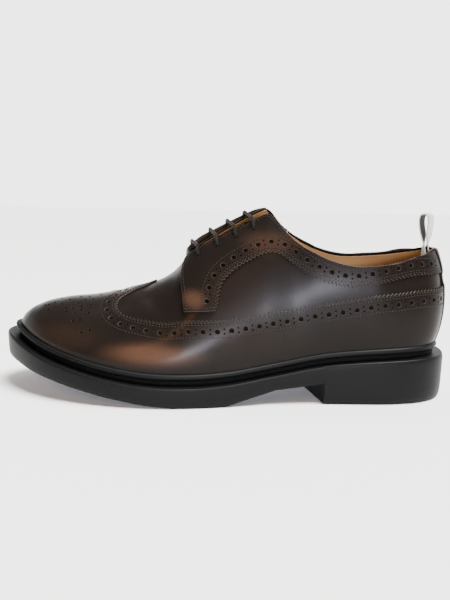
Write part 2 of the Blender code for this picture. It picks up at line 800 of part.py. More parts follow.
def build_tongue(finish):
    """Sheet under the throat that sinks away from the facings towards its tip."""
    points, index = [], []
    across = (-1, -0.72, -0.4, 0, 0.4, 0.72, 1)
    drops = {}
    for row in TONGUE:
        ridge = np.array([row.s, column(RIDGE, "y", row.s), column(RIDGE, "z", row.s)])
        line = []
        for share in across:
            side = LATERAL if share < 0 else MEDIAL
            p = ridge + np.array([0, share * row.half, 0])
            if row.s > TONGUE_FREE and share:
                t, b = find(side, row.s, 1, p[1])
                drops[share] = ridge[2] - point(side, t, b)[2]
            p[2] -= drops.get(share, 0.0)
            points.append(p)
            line.append(len(points) - 1)
        index.append(line)
    base = np.array(points)
    faces = grid_faces(index, len(TONGUE), len(across), False)
    flipped = base * np.array([-1, 1, 1])
    normals = sheet_normals(flipped, faces) * np.array([-1, 1, 1])
    if normals[len(normals) // 2][2] < 0:
        normals = -normals
        faces = [tuple(reversed(f)) for f in faces]
    depth = np.repeat([WALL + FIT + row.sink for row in TONGUE], len(across))[:, None]
    under = WALL + FIT + TONGUE_SQUARE
    base -= normals * np.minimum(depth, under)
    base[:, 2] -= np.maximum(depth[:, 0] - under, 0)
    return thick_sheet("tongue", base, faces, -TONGUE_THICK, 0.0, finish)


def surface_normal(side, t, b):
    step = 0.002
    along = point(side, min(t + step, 1), b) - point(side, t - step, b)
    up = point(side, t, min(b + step, 1)) - point(side, t, b - step)
    n = np.cross(along, up) * side
    n /= np.linalg.norm(n)
    return n


def eyelet_place(side, s):
    """Middle of an eyelet on the facing and the direction out of it."""
    t, top = top_at(side, s)
    end = point(side, t, top)
    lo, hi = 0.0, top
    for _ in range(34):
        mid = (lo + hi) / 2
        if np.linalg.norm(point(side, t, mid) - end) > EYELET_BACK:
            lo = mid
        else:
            hi = mid
    b = (lo + hi) / 2
    n = surface_normal(side, t, b)
    if n[1] * side < 0:
        n = -n
    return point(side, t, b), n, end


def tube(name, path, radius, sides, finish):
    path = [np.array(p) for p in path]
    verts, faces = [], []
    for i, p in enumerate(path):
        run = path[min(i + 1, len(path) - 1)] - path[max(i - 1, 0)]
        run /= np.linalg.norm(run)
        side = np.cross(run, np.array([1.0, 0, 0]))
        side /= np.linalg.norm(side)
        up = np.cross(run, side)
        for k in range(sides):
            angle = 2 * math.pi * k / sides
            verts.append(place(p + radius * (math.cos(angle) * side + math.sin(angle) * up)))
    for i in range(len(path) - 1):
        for k in range(sides):
            n = (k + 1) % sides
            faces.append((i * sides + k, i * sides + n, (i + 1) * sides + n, (i + 1) * sides + k))
    faces.append(tuple(range(sides)))
    faces.append(tuple((len(path) - 1) * sides + k for k in range(sides)))
    return add_object(name, verts, faces, finish)


def bar_path(eyelet):
    """Bar that leaves one eyelet, runs over both facing edges and ends at the other eyelet."""
    crown = 0.3
    path = []
    for side, s in ((LATERAL, eyelet.lateral), (MEDIAL, eyelet.medial)):
        middle, n, end = eyelet_place(side, s)
        half = (middle + end) / 2
        path.append([middle + n * eyelet.over, half + n * (eyelet.over + crown),
                     end + n * (eyelet.over + crown / 2)])
    ends = path[1][::-1]
    mid = [path[0][-1] + (ends[0] - path[0][-1]) * k / 4 for k in (1, 2, 3)]
    return path[0] + mid + ends


def build_loop(finish):
    smooth = []
    for u in np.linspace(0, len(LOOP) - 1, LOOP_STEPS):
        smooth.append(np.array([catmull([r.s for r in LOOP], u), 0.0, catmull([r.z for r in LOOP], u)]))
    verts, faces = [], []
    pivot = np.array((LOOP_PIVOT, 0.0))
    for i, p in enumerate(smooth):
        run = smooth[min(i + 1, len(smooth) - 1)] - smooth[max(i - 1, 0)]
        run /= np.linalg.norm(run)
        across = np.array((run[2], 0, -run[0]))
        angle = math.radians(LOOP_TURN) * smoothstep(96, 112, p[2])
        for wide, deep in ((-1, -1), (1, -1), (1, 1), (-1, 1)):
            q = p + across * deep * LOOP_THICK / 2 + np.array((0, wide * LOOP_WIDTH / 2, 0))
            flat = q[:2] - pivot
            turned = (flat[0] * math.cos(angle) - flat[1] * math.sin(angle),
                      flat[0] * math.sin(angle) + flat[1] * math.cos(angle))
            verts.append(place((pivot[0] + turned[0], pivot[1] + turned[1], q[2])))
    for i in range(len(smooth) - 1):
        for k in range(4):
            n = (k + 1) % 4
            faces.append((i * 4 + k, i * 4 + n, (i + 1) * 4 + n, (i + 1) * 4 + k))
    faces.append((0, 1, 2, 3))
    last = (len(smooth) - 1) * 4
    faces.append((last, last + 1, last + 2, last + 3))
    return add_object("pull_loop", verts, faces, finish)


def cut_eyelets(targets):
    """Punched lace holes through facings and upper."""
    for number, eyelet in enumerate(EYELETS, 1):
        for side, s in ((LATERAL, eyelet.lateral), (MEDIAL, eyelet.medial)):
            middle, n, _ = eyelet_place(side, s)
            start, end = place(middle - n * 2 * WALL), place(middle + n * 2.5 * TAB)
            axis = end - start
            name = f"eyelet_cutter_{number}_{'lateral' if side == LATERAL else 'medial'}"
            mesh = bpy.data.meshes.new(name)
            bm = bmesh.new()
            bmesh.ops.create_cone(bm, cap_ends=True, segments=10, radius1=EYELET_RADIUS * MM,
                                  radius2=EYELET_RADIUS * MM, depth=axis.length)
            bm.to_mesh(mesh)
            bm.free()
            cutter = bpy.data.objects.new(name, mesh)
            cutter.location = (start + end) / 2
            cutter.rotation_mode = "QUATERNION"
            cutter.rotation_quaternion = axis.to_track_quat("Z", "Y")
            cutter.hide_render = True
            cutter.display_type = "WIRE"
            bpy.context.collection.objects.link(cutter)
            for target in targets[side]:
                cut = target.modifiers.new(name, "BOOLEAN")
                cut.operation = "DIFFERENCE"
                cut.solver = "EXACT"
                cut.object = cutter


def main():
    for obj in list(bpy.data.objects):
        bpy.data.objects.remove(obj, do_unlink=True)
    leather = material("espresso leather", "#2B211D", 0.35)
    rubber = material("black rubber", "#17181A", 0.6)
    sock = material("tan sock leather", "#B98A52", 0.7)
    cord = material("waxed lace cord", "#2A2726", 0.6)
    tape = material("ribbed tape", "#E8E2D6", 0.85)
    build_outsole(rubber)
    build_welt(rubber)
    build_insole(sock)
    upper = build_upper(leather)
    build_wing(leather)
    lateral = build_facing(LATERAL, "facing_lateral", leather)
    medial = build_facing(MEDIAL, "facing_medial", leather)
    build_heel_strip(leather)
    build_tongue(leather)
    for number, eyelet in enumerate(EYELETS, 1):
        tube(f"lace_bar_{number}", bar_path(eyelet), LACE_RADIUS, 8, cord)
    build_loop(tape)
    cut_eyelets({LATERAL: [upper, lateral], MEDIAL: [upper, medial]})


main()
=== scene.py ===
# Longwing derby brogue, left shoe: fine leather, stitching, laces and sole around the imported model.
# Sizes are in millimetres. A place along the shoe is its distance from the back of the heel.
import math

import bpy
import numpy as np
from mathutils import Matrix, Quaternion, Vector
from mathutils.geometry import delaunay_2d_cdt


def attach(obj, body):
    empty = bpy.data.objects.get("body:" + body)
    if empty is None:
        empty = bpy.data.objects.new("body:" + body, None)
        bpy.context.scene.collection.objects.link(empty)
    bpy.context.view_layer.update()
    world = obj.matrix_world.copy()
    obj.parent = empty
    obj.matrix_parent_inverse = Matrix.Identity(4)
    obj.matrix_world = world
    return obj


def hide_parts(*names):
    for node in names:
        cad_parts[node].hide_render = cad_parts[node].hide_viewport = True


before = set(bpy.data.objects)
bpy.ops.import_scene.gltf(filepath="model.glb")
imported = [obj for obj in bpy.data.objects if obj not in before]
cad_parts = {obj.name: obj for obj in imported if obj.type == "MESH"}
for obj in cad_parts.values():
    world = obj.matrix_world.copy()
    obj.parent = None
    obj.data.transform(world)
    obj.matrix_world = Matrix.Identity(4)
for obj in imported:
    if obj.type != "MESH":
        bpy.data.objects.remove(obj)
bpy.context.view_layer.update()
print("frame loaded:", len(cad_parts), "nodes")

lateral, medial = -1, 1
sides = (lateral, medial)

# The last, with the same rows as the part's source.
last = dict(
    length=305.0,
    bead=8.2,
    heelBack=(7, 0),
    toeTip=(294.5, 6),
    foot={   # along, across
        lateral: ((14, -19), (30, -28.6), (55, -32.4), (90, -33.8), (125, -38.2), (160, -45.6),
                  (190, -49.2), (220, -47.2), (250, -39), (272, -26.2), (286, -12)),
        medial: ((14, 19), (28, 27.8), (50, 31), (80, 29), (110, 27), (140, 29), (170, 35.6),
                 (200, 42.6), (225, 45), (252, 41), (274, 31.6), (287, 21))},
    soleTop=((0, 30.4), (40, 29.6), (87, 25.6), (119, 19.6), (150, 14.8), (173, 13.6), (200, 14.2),
             (227, 17.4), (254, 22.8), (272, 27.2), (290, 32.6), (305, 37.8)),
    edges=((0, 2.8, 4.8), (40, 3, 3.8), (110, 3.2, 3.2), (190, 3.5, 3.8), (250, 3.9, 4.4),
           (305, 4.8, 5.8)),   # along, bead, ledge
    ridge=(   # along, across, height, tilt
        (28, 0, 128, 0), (44, 0, 136, 0), (62, 0, 141, 0), (92, 0, 141, 0.05), (110, -0.5, 135, 0.1),
        (128, -1.5, 127, 0.16), (142, -1.5, 119.4, 0.18), (158, -1.5, 109.2, 0.18),
        (170, -1, 101, 0.17), (177, -0.5, 93.8, 0.13), (182, 0, 87.4, 0.1), (187, 0, 81.8, 0.08),
        (194, 0.5, 76.8, 0.06), (204, 1.5, 72, 0.05), (220, 2.5, 66.6, 0.04), (242, 3.5, 62, 0.03),
        (265, 4.5, 59.2, 0.02), (280, 5.2, 55.2, 0), (289, 5.7, 50.2, 0), (293.3, 5.9, 45.4, 0),
        (294.5, 6, 42.2, 0)),
    sections={   # along at the foot, along at the ridge, out low, up low, out high, drop
        lateral: ((7, 28, 7, 17, 31, 30), (30, 44, 4, 18, 28, 14), (55, 60, 3.5, 20, 32, 14),
                  (90, 92, 3, 20, 31, 11), (108, 110, 2.5, 20, 27, 6), (125, 128, 2, 20, 27, 0),
                  (145, 147, 1.8, 20, 28, 0), (160, 161, 1.6, 20, 28.5, 0), (175, 174, 1.4, 19, 28.5, 0),
                  (190, 187, 1.2, 17, 28, 0), (220, 214, 1.2, 15, 27, 0), (250, 244, 1.2, 12, 23, 0),
                  (275, 270, 1, 9, 16, 0), (289, 287, 0.7, 5, 8, 0), (294.5, 294.5, 0, 0, 0, 0)),
        medial: ((7, 28, 7, 17, 31, 30), (28, 44, 4, 18, 28, 14), (50, 60, 4, 20, 32, 14),
                 (80, 86, 6, 21, 32, 12), (110, 110, 8.5, 22, 29, 6), (135, 128, 10, 22, 27, 0),
                 (160, 150, 8, 21, 27, 0), (185, 172, 4, 19, 27, 0), (205, 190, 2, 17, 27, 0),
                 (228, 214, 1.4, 15, 26, 0), (255, 244, 1.2, 12, 24, 0), (277, 270, 1, 9, 17, 0),
                 (290, 287, 0.7, 5, 9, 0), (294.5, 294.5, 0, 0, 0, 0))},
    collar={   # along, height
        lateral: ((10, 101.4), (20, 98.2), (32, 94.6), (47, 91.8), (66, 90.4), (87, 95), (100, 101),
                  (113, 111), (122, 120), (134, 133)),
        medial: ((10, 101.4), (20, 99), (32, 96.4), (47, 94.3), (66, 93.2), (87, 97.8), (100, 104),
                 (113, 113.6), (122, 122), (134, 136))},
    throat=((110, -9, 6), (128, -11, 8.5), (155, -11.5, 8.5), (170, -11.5, 8), (176.5, -10.5, 7.2),
            (180.5, -7, 5), (183, 0, 0.1)),   # along, lateral edge, medial edge
    throatEnd=183.0, collarEnd=145.0, facingFrom=105.0, rounding=(0.012, 0.03))


def hermite(u, span, low, high, lowSlope, highSlope):
    # smooth way from one value to the next, with a slope at each end
    return ((1 + 2 * u) * (1 - u) ** 2 * low + u * (1 - u) ** 2 * span * lowSlope
            + u * u * (3 - 2 * u) * high - u * u * (1 - u) * span * highSlope)


def rowValue(rows, column, at):
    # smooth value through a table's rows, level at both ends
    table = np.array(rows, float)
    xs, ys = table[:, 0], table[:, column]
    step = np.diff(ys) / np.diff(xs)
    share = np.diff(xs)[1:] / (xs[2:] - xs[:-2])
    slope = np.zeros(len(xs))
    slope[1:-1] = np.where(step[:-1] * step[1:] > 0, step[:-1] * share + step[1:] * (1 - share), 0)
    at = np.clip(at, xs[0], xs[-1])
    i = np.clip(np.searchsorted(xs, at) - 1, 0, len(xs) - 2)
    span = xs[i + 1] - xs[i]
    return hermite((at - xs[i]) / span, span, ys[i], ys[i + 1], slope[i], slope[i + 1])


def softStep(low, high, x):
    u = np.clip((x - low) / (high - low), 0, 1)
    return u * u * (3 - 2 * u)


def unit(v):
    return v / np.maximum(np.linalg.norm(v, axis=-1, keepdims=True), 1e-9)


def runLength(points):
    # distance along a line at each of its points
    return np.concatenate([[0], np.cumsum(np.linalg.norm(np.diff(points, axis=0), axis=1))])


def between(at, xs, rows):
    # straight between rows of points
    return np.stack([np.interp(at, xs, rows[:, k]) for k in range(rows.shape[1])], -1)


def closedCurve(points, steps):
    # even closed spline through the points
    points = np.array(points, float)
    count = len(points)
    chord = np.linalg.norm(np.roll(points, -1, 0) - points, axis=1)
    system = np.zeros((count, count))
    right = np.zeros((count, 2))
    for i in range(count):
        before, after = chord[i - 1], chord[i]
        system[i, i - 1] = 1 / before
        system[i, i] = 2 / before + 2 / after
        system[i, (i + 1) % count] = 1 / after
        right[i] = 3 * ((points[i] - points[i - 1]) / before ** 2
                        + (points[(i + 1) % count] - points[i]) / after ** 2)
    slopes = np.linalg.solve(system, right)
    u = np.linspace(0, 1, steps, endpoint=False)[:, None]
    return np.concatenate([hermite(u, chord[i - 1], points[i - 1], points[i], slopes[i - 1], slopes[i])
                           for i in [*range(1, count), 0]])


def footHalf(points, side):
    # half of the upper's foot outline, from the back of the heel (0) to the toe tip (1)
    length = runLength(points)
    run = np.gradient(points, axis=0)
    run[0] = (0, side)
    run[-1] = (0, -side)
    run = unit(run)
    normals = np.stack([-run[:, 1], run[:, 0]], axis=1) * side
    return dict(t=length / length[-1], points=points, normals=normals, length=length[-1])


def makeFeet():
    steps = 60
    outer, inner = last["foot"][lateral], last["foot"][medial]
    dense = closedCurve([last["heelBack"], *outer, last["toeTip"], *inner[::-1]], steps)
    tip = (len(outer) + 1) * steps
    innerHalf = np.concatenate([dense[tip:], dense[:1]])[::-1]
    return {lateral: footHalf(dense[:tip + 1], lateral), medial: footHalf(innerHalf, medial)}


feet = makeFeet()


def footAt(side, t, what="points"):
    return between(t, feet[side]["t"], feet[side][what])


def footNormal(side, t):
    return unit(footAt(side, t, "normals"))


def footShare(side, along):
    return np.interp(along, feet[side]["points"][:, 0], feet[side]["t"])


def soleTop(along):
    return rowValue(last["soleTop"], 1, along)


def soleEdge(side, t):
    # point of the outsole's edge beside the foot of the upper
    p = footAt(side, t)
    out = rowValue(last["edges"], 1, p[..., 0]) + rowValue(last["edges"], 2, p[..., 0])
    return p + footNormal(side, t) * out[..., None]


shares = np.linspace(0, 1, 200)
edgeAcross = np.concatenate([soleEdge(side, shares)[:, 1] for side in sides])
middle = (edgeAcross.min() + edgeAcross.max()) / 2
back = float(soleEdge(lateral, np.array([0.0]))[0, 0])
front = float(soleEdge(lateral, np.array([1.0]))[0, 0])
stretch = last["length"] / (front - back)


def toWorld(p):
    # shoe place to the part's frame, still in millimetres
    p = np.asarray(p, float)
    return np.stack([last["length"] / 2 - (p[..., 0] - back) * stretch, p[..., 1] - middle, p[..., 2]], -1)


def alongOf(world):
    # place along the shoe of points in the part's frame
    return (last["length"] / 2 - world[:, 0]) / stretch + back


sectionRows = {}
for side in sides:
    rows = [(float(footShare(side, r[0])), *r) for r in last["sections"][side]]
    rows[-1] = (1.0, *rows[-1][1:])
    sectionRows[side] = rows


def section(side, t):
    # four Bezier points of each section
    along, ridgeS, outLow, upLow, outHigh, drop = [rowValue(sectionRows[side], k, t) for k in range(1, 7)]
    p = footAt(side, t)
    n = footNormal(side, t)
    foot = np.concatenate([p, (soleTop(p[..., 0]) + last["bead"])[..., None]], -1)
    ridge = np.stack([ridgeS, rowValue(last["ridge"], 1, ridgeS), rowValue(last["ridge"], 2, ridgeS)], -1)
    turn = softStep(20, 110, p[..., 0])[..., None]
    out = unit(n * (1 - turn) + np.array([0, side]) * turn)
    low = foot + np.concatenate([n * outLow[..., None], upLow[..., None]], -1)
    tilt = -side * rowValue(last["ridge"], 3, ridgeS) * outHigh
    high = ridge + np.concatenate([out * outHigh[..., None], (-drop - tilt)[..., None]], -1)
    return foot, low, high, ridge


def lastPoint(side, t, b):
    p0, p1, p2, p3 = section(side, np.clip(t, 0, 1))
    b = np.asarray(b, float)[..., None]
    a = 1 - b
    return a ** 3 * p0 + 3 * a * a * b * p1 + 3 * a * b * b * p2 + b ** 3 * p3


def halve(isBelow, low, high, rounds):
    # limit up to which a condition holds, by halving
    for _ in range(rounds):
        mid = (low + high) / 2
        below = isBelow(mid)
        low, high = np.where(below, mid, low), np.where(below, high, mid)
    return (low + high) / 2


def riseTo(side, t, axis, goal):
    # share of each section where its height (2) or width (1) reaches the goal
    sign = 1 if axis == 2 else -side
    low, high = np.full(np.shape(t), 0.0 if axis == 2 else 0.25), np.ones(np.shape(t))
    return halve(lambda b: sign * lastPoint(side, t, b)[..., axis] < sign * goal, low, high, 36)


def findOnLast(side, along, axis, goal):
    # section and share of the surface points at these places with the given height or width
    along, goal = np.broadcast_arrays(np.atleast_1d(np.asarray(along, float)), goal)
    t = halve(lambda share: lastPoint(side, share, riseTo(side, share, axis, goal))[:, 0] < along,
              np.zeros(len(along)), np.ones(len(along)), 32)
    return np.stack([t, riseTo(side, t, axis, goal)], -1)


def topShare(side, t):
    # share of each section where the upper ends: collar, facing edge or ridge
    ridgeS = section(side, t)[3][:, 0]
    collar = np.full(len(t), 0.7)
    for _ in range(8):
        collar = riseTo(side, t, 2, rowValue(last["collar"][side], 1, lastPoint(side, t, collar)[:, 0]))
    collar = np.where(ridgeS < last["collarEnd"], collar, 1.0)
    column = 1 if side == lateral else 2
    across = rowValue(last["throat"], column, ridgeS) + rowValue(last["ridge"], 1, ridgeS)
    edge = riseTo(side, t, 1, across)
    deep, wide = last["rounding"]
    both = np.minimum(collar, edge) - deep * np.exp(-np.abs(collar - edge) / wide)
    top = np.where(ridgeS < last["facingFrom"], collar, both)
    return np.where(ridgeS >= last["throatEnd"], 1.0, top)


# Tables along each half, so that the pieces look up places instead of searching for them.
halves = {}
tGrid = np.linspace(0, 1, 1201)
for side in sides:
    bs = np.linspace(0, 1, 25)
    lines = np.stack([lastPoint(side, tGrid, np.full(len(tGrid), b)) for b in bs], 1)
    top = topShare(side, tGrid)
    halves[side] = dict(
        length=feet[side]["length"],
        height=np.linalg.norm(np.diff(lines, axis=1), axis=2).sum(1),
        top=top, topPlace=lastPoint(side, tGrid, top), ridge=section(side, tGrid)[3][:, 0])
print("last worked out")


def topAt(side, along):
    t = np.interp(along, halves[side]["topPlace"][:, 0], tGrid)
    return np.stack([t, np.interp(t, tGrid, halves[side]["top"])], -1)


def ridgeAt(side, along):
    t = np.interp(along, halves[side]["ridge"], tGrid)
    return np.stack([t, np.ones(np.shape(t))], -1)


def flat(side, tb):
    # section and share laid out flat, about to scale
    tb = np.asarray(tb, float)
    return np.stack([tb[..., 0] * halves[side]["length"],
                     tb[..., 1] * np.interp(tb[..., 0], tGrid, halves[side]["height"])], -1)


def unflat(side, xy):
    t = xy[..., 0] / halves[side]["length"]
    return t, xy[..., 1] / np.maximum(np.interp(t, tGrid, halves[side]["height"]), 1e-3)


def onLast(side, xy):
    return toWorld(lastPoint(side, *unflat(side, xy)))


# Soft troughs of a shoe that was bent a little: ends of each trough as place along and height.
creases = dict(
    lines=((lateral, (128, 41), (153, 29), 0.12, 8.0), (lateral, (112, 43), (130, 34), 0.08, 7.0),
           (lateral, (196, 62), (206, 69), 0.3, 4.0), (medial, (176, 30), (196, 46), 0.5, 5.0),
           (medial, (198, 60), (208, 68), 0.3, 4.0)),   # side, from, to, depth, width
    swell=0.45, swellAt=1.8)   # the rise beside a trough: share of its depth, widths away


def creaseDepth(side, world):
    p = np.stack([alongOf(world), world[:, 2]], -1)
    total = np.zeros(len(p))
    for where, start, end, depth, width in creases["lines"]:
        if where != side:
            continue
        start, run = np.array(start, float), np.subtract(end, start)
        share = np.clip((p - start) @ run / (run @ run), 0, 1)
        away = np.linalg.norm(p - start - share[:, None] * run, axis=1)
        swell = np.exp(-((away - creases["swellAt"] * width) / width) ** 2)
        total += depth * (np.exp(-(away / width) ** 2) - creases["swell"] * swell)
    return total


def tangents(surface, side, xy, h):
    # short ways over a surface along both axes of the flat pattern
    steps = np.array([h, 0]), np.array([0, h])
    return [surface(side, xy + step) - surface(side, xy - step) for step in steps]


def plainFrame(side, xy):
    h = 0.03
    right, up = tangents(onLast, side, xy, h)
    return right / (2 * h), up / (2 * h), unit(np.cross(right, up) * side)


def bent(side, xy):
    p = onLast(side, xy)
    return p - plainFrame(side, xy)[2] * creaseDepth(side, p)[:, None]


def leatherFrame(side, xy):
    # place and normal on the creased upper
    normal = np.cross(*tangents(bent, side, xy, 0.05)) * side
    tight = np.linalg.norm(normal, axis=1) < 1e-7
    normal = unit(normal)
    normal[tight] = (-1, 0, 0)
    return bent(side, xy), normal


def march(side, xy, direction, distance, steps=6):
    # walk over the surface from points of the flat pattern, straight on in a direction
    xy = xy.copy()
    for _ in range(steps):
        right, up, normal = plainFrame(side, xy)
        direction = unit(direction - (direction * normal).sum(1)[:, None] * normal)
        rr, ru, uu = (right * right).sum(1), (right * up).sum(1), (up * up).sum(1)
        dr, du = (direction * right).sum(1), (direction * up).sum(1)
        det = np.maximum(rr * uu - ru * ru, 1e-9)
        move = np.stack([(dr * uu - du * ru) / det, (du * rr - dr * ru) / det], -1)
        xy += move * (distance / steps)
    return xy


def lineThrough(rows, share):
    # smooth line through evenly counted rows
    rows = np.array(rows, float)
    u = share * (len(rows) - 1)
    i = np.clip(u.astype(int), 0, len(rows) - 2)
    f = (u - i)[:, None]
    p1, p2 = rows[i], rows[i + 1]
    p0 = np.where((i > 0)[:, None], rows[i - 1], 2 * p1 - p2)
    p3 = np.where((i + 2 < len(rows))[:, None], rows[np.minimum(i + 2, len(rows) - 1)], 2 * p2 - p1)
    cubic = 3 * (p1 - p2) + p3 - p0
    square = 2 * p0 - 5 * p1 + 4 * p2 - p3
    return p1 + 0.5 * f * (p2 - p0 + f * (square + f * cubic))


def spaced(side, xy, pitch=None, count=None):
    # the same line with even steps over the surface
    length = runLength(onLast(side, xy))
    count = count or max(int(round(length[-1] / pitch)), 1)
    return between(np.linspace(0, length[-1], count + 1), length, xy)


def sideways(side, xy, sign):
    # direction across a line, in the surface
    p = onLast(side, xy)
    run = unit(np.gradient(p, axis=0))
    return np.cross(plainFrame(side, xy)[2], run) * (-side * sign)


def farFrom(points, line, least):
    keep = np.ones(len(points), bool)
    chunk = 2000
    for start in range(0, len(points), chunk):
        part = points[start:start + chunk]
        away = np.linalg.norm(part[:, None] - line[None], axis=2).min(1)
        keep[start:start + chunk] = away >= least
    return keep


def offsetLine(side, edge, sign, distance):
    # line beside an edge, without the stretches that turn back on themselves
    moved = march(side, edge, sideways(side, edge, sign), distance)
    keep = farFrom(onLast(side, moved), onLast(side, edge), 0.96 * distance)
    t = moved[:, 0] / halves[side]["length"]
    keep &= moved[:, 1] <= np.interp(t, tGrid, halves[side]["height"]) - 0.2
    return moved[keep]


def ring(side, centre, radius, count):
    # circle on the surface round a point of the flat pattern
    right, up, normal = [v[0] for v in plainFrame(side, centre[None])]
    first = unit(right)
    second = np.cross(normal, first)
    angle = 2 * np.pi * np.arange(count) / count
    dy = radius * np.sin(angle) / (up @ second)
    dx = (radius * np.cos(angle) - (up @ first) * dy) / np.linalg.norm(right)
    return centre + np.stack([dx, dy], -1)


def insidePolygon(points, polygon):
    inside = np.zeros(len(points), bool)
    x, y = points[:, 0], points[:, 1]
    for (x0, y0), (x1, y1) in zip(polygon, np.roll(polygon, -1, 0)):
        if y0 == y1:
            continue
        cross = (y0 > y) != (y1 > y)
        inside ^= cross & (x < (x1 - x0) * (y - y0) / (y1 - y0) + x0)
    return inside


def insetLine(outline, depth):
    # points a little inside a closed outline
    after = np.roll(outline, -1, 0) - outline
    before = outline - np.roll(outline, 1, 0)
    n0 = unit(np.stack([-before[:, 1], before[:, 0]], -1))
    n1 = unit(np.stack([-after[:, 1], after[:, 0]], -1))
    area = (outline[:, 0] * np.roll(outline[:, 1], -1) - np.roll(outline[:, 0], -1) * outline[:, 1]).sum()
    mean = unit(n0 + n1) * np.sign(area)
    reach = depth / np.maximum((mean * n1).sum(1) * np.sign(area), 0.5)
    return outline + mean * reach[:, None]


pinTag = 1000   # marks of pinholes start here, marks of larger holes at 2, and a cut edge is 1


def cutPattern(side, stretches, holes, pitch, bevel):
    # flat pattern cut like leather
    # stretches are (line, is it a cut edge), holes are (centre, radius, corners)
    outline = np.concatenate([line[:-1] for line, _ in stretches])
    cut = np.concatenate([np.full(len(line) - 1, edge) for line, edge in stretches])
    # a corner between a seam and a cut edge is part of the seam, so that both halves meet there
    cut &= np.roll(cut, 1)
    inset = insetLine(outline, bevel)
    points, tags, links = [outline], [np.where(cut, 1, 0)], []
    count = len(outline)
    links += [(i, (i + 1) % count) for i in range(count)]
    inner = np.cumsum(cut) - 1 + count
    points.append(inset[cut])
    tags.append(np.zeros(cut.sum(), int))
    links += [(inner[i], inner[(i + 1) % count]) for i in range(count) if cut[i] and cut[(i + 1) % count]]
    start = count + int(cut.sum())
    for k, (centre, radius, corners) in enumerate(holes):
        shoulder = min(0.3, 0.5 * radius)
        number = k + (2 if radius > 1 else pinTag)
        for r, tag in ((radius, number), (radius + shoulder, 0)):
            points.append(ring(side, centre, r, corners))
            tags.append(np.full(corners, tag))
            links += [(start + i, start + (i + 1) % corners) for i in range(corners)]
            start += corners
    fixed = np.concatenate(points)
    low, high = outline.min(0), outline.max(0)
    xs = np.arange(low[0] + pitch / 2, high[0], pitch)
    ys = np.arange(low[1] + pitch / 2, high[1], pitch * 0.87)
    grid = np.stack(np.meshgrid(xs, ys, indexing="ij"), -1)
    grid[:, 1::2, 0] += pitch / 2
    seeds = grid.reshape(-1, 2)
    cell = 0.62 * pitch
    wide = 100000
    taken = np.unique(np.concatenate([
        (np.floor(fixed[:, 0] / cell).astype(int) + i) * wide + np.floor(fixed[:, 1] / cell).astype(int) + j
        for i in (-1, 0, 1) for j in (-1, 0, 1)]))
    own = np.floor(seeds[:, 0] / cell).astype(int) * wide + np.floor(seeds[:, 1] / cell).astype(int)
    seeds = seeds[~np.isin(own, taken)]
    seeds = seeds[insidePolygon(seeds, outline)]
    for centre, radius, _ in holes:
        if radius > 0.6 * cell:
            seeds = seeds[np.linalg.norm(seeds - centre, axis=1) > radius]
    allPoints = np.concatenate([fixed, seeds])
    allTags = np.concatenate(tags + [np.zeros(len(seeds), int)])
    made = delaunay_2d_cdt([Vector(p) for p in allPoints], links, [], 1, 1e-6)
    xy = np.array([tuple(v) for v in made[0]])
    faces = np.array(made[2])
    tag = np.array([allTags[o[0]] if o else 0 for o in made[3]])
    three = tag[faces]
    solid = ~((three[:, 0] > 1) & (three[:, 0] == three[:, 1]) & (three[:, 1] == three[:, 2]))
    return dict(side=side, xy=xy, faces=faces[solid], tag=tag)


def joinCuts(cuts):
    # both halves of a pattern on the last, sewn where they meet
    parts = [leatherFrame(c["side"], c["xy"]) for c in cuts]
    place = np.concatenate([p for p, _ in parts])
    normal = np.concatenate([n for _, n in parts])
    tag = np.concatenate([c["tag"] for c in cuts])
    faces, start = [], 0
    for c, (p, n) in zip(cuts, parts):
        f = c["faces"]
        corner = p[f]
        turn = (np.cross(corner[:, 1] - corner[:, 0], corner[:, 2] - corner[:, 0]) * n[f].mean(1)).sum()
        faces.append((f if turn > 0 else f[:, ::-1]) + start)
        start += len(p)
    faces = np.concatenate(faces)
    key = np.round(place * 50 + 0.13).astype(int)
    _, first, inverse = np.unique(key, axis=0, return_index=True, return_inverse=True)
    inverse = inverse.ravel()
    summed = np.zeros((len(first), 3))
    np.add.at(summed, inverse, normal)
    faces = inverse[faces]
    ok = (faces[:, 0] != faces[:, 1]) & (faces[:, 1] != faces[:, 2]) & (faces[:, 2] != faces[:, 0])
    dark = np.concatenate([c.get("dark", np.zeros(len(c["xy"]))) for c in cuts])
    return place[first], unit(summed), tag[first], dark[first], faces[ok]


def addMesh(name, verts, faces, loopNormals=None, values=None, uv=None):
    mesh = bpy.data.meshes.new(name)
    mesh.from_pydata((np.asarray(verts) * 0.001).tolist(), [], [tuple(int(i) for i in f) for f in faces])
    mesh.polygons.foreach_set("use_smooth", np.ones(len(mesh.polygons), bool))
    for key, value in (values or {}).items():
        mesh.attributes.new(key, "FLOAT", "POINT").data.foreach_set("value", np.asarray(value, np.float32))
    if uv is not None:
        corner = np.zeros(len(mesh.loops), int)
        mesh.loops.foreach_get("vertex_index", corner)
        layer = mesh.uv_layers.new(name="length")
        layer.data.foreach_set("uv", np.asarray(uv, np.float32)[corner].ravel())
    if loopNormals is not None:
        mesh.normals_split_custom_set(loopNormals.tolist())
    mesh.update()
    obj = bpy.data.objects.new(name, mesh)
    bpy.context.collection.objects.link(obj)
    return obj


# Warm brown patches, partly the leather's own brown where the polish is thinner and partly a painted warm
# reflection: side, along, height, half length, half height, strength.
brownAndReflection = dict(spots=(
    (lateral, 198, 33, 27, 6, 0.62), (lateral, 172, 67, 7, 5, 0.45), (lateral, 124, 104, 16, 7, 0.25),
    (lateral, 146, 70, 24, 20, 0.03), (lateral, 140, 46, 36, 12, 0.04), (lateral, 258, 40, 24, 8, 0.09),
    (medial, 60, 78, 42, 20, 0.8), (medial, 100, 86, 22, 13, 0.35), (medial, 58, 56, 32, 8, 0.3)))
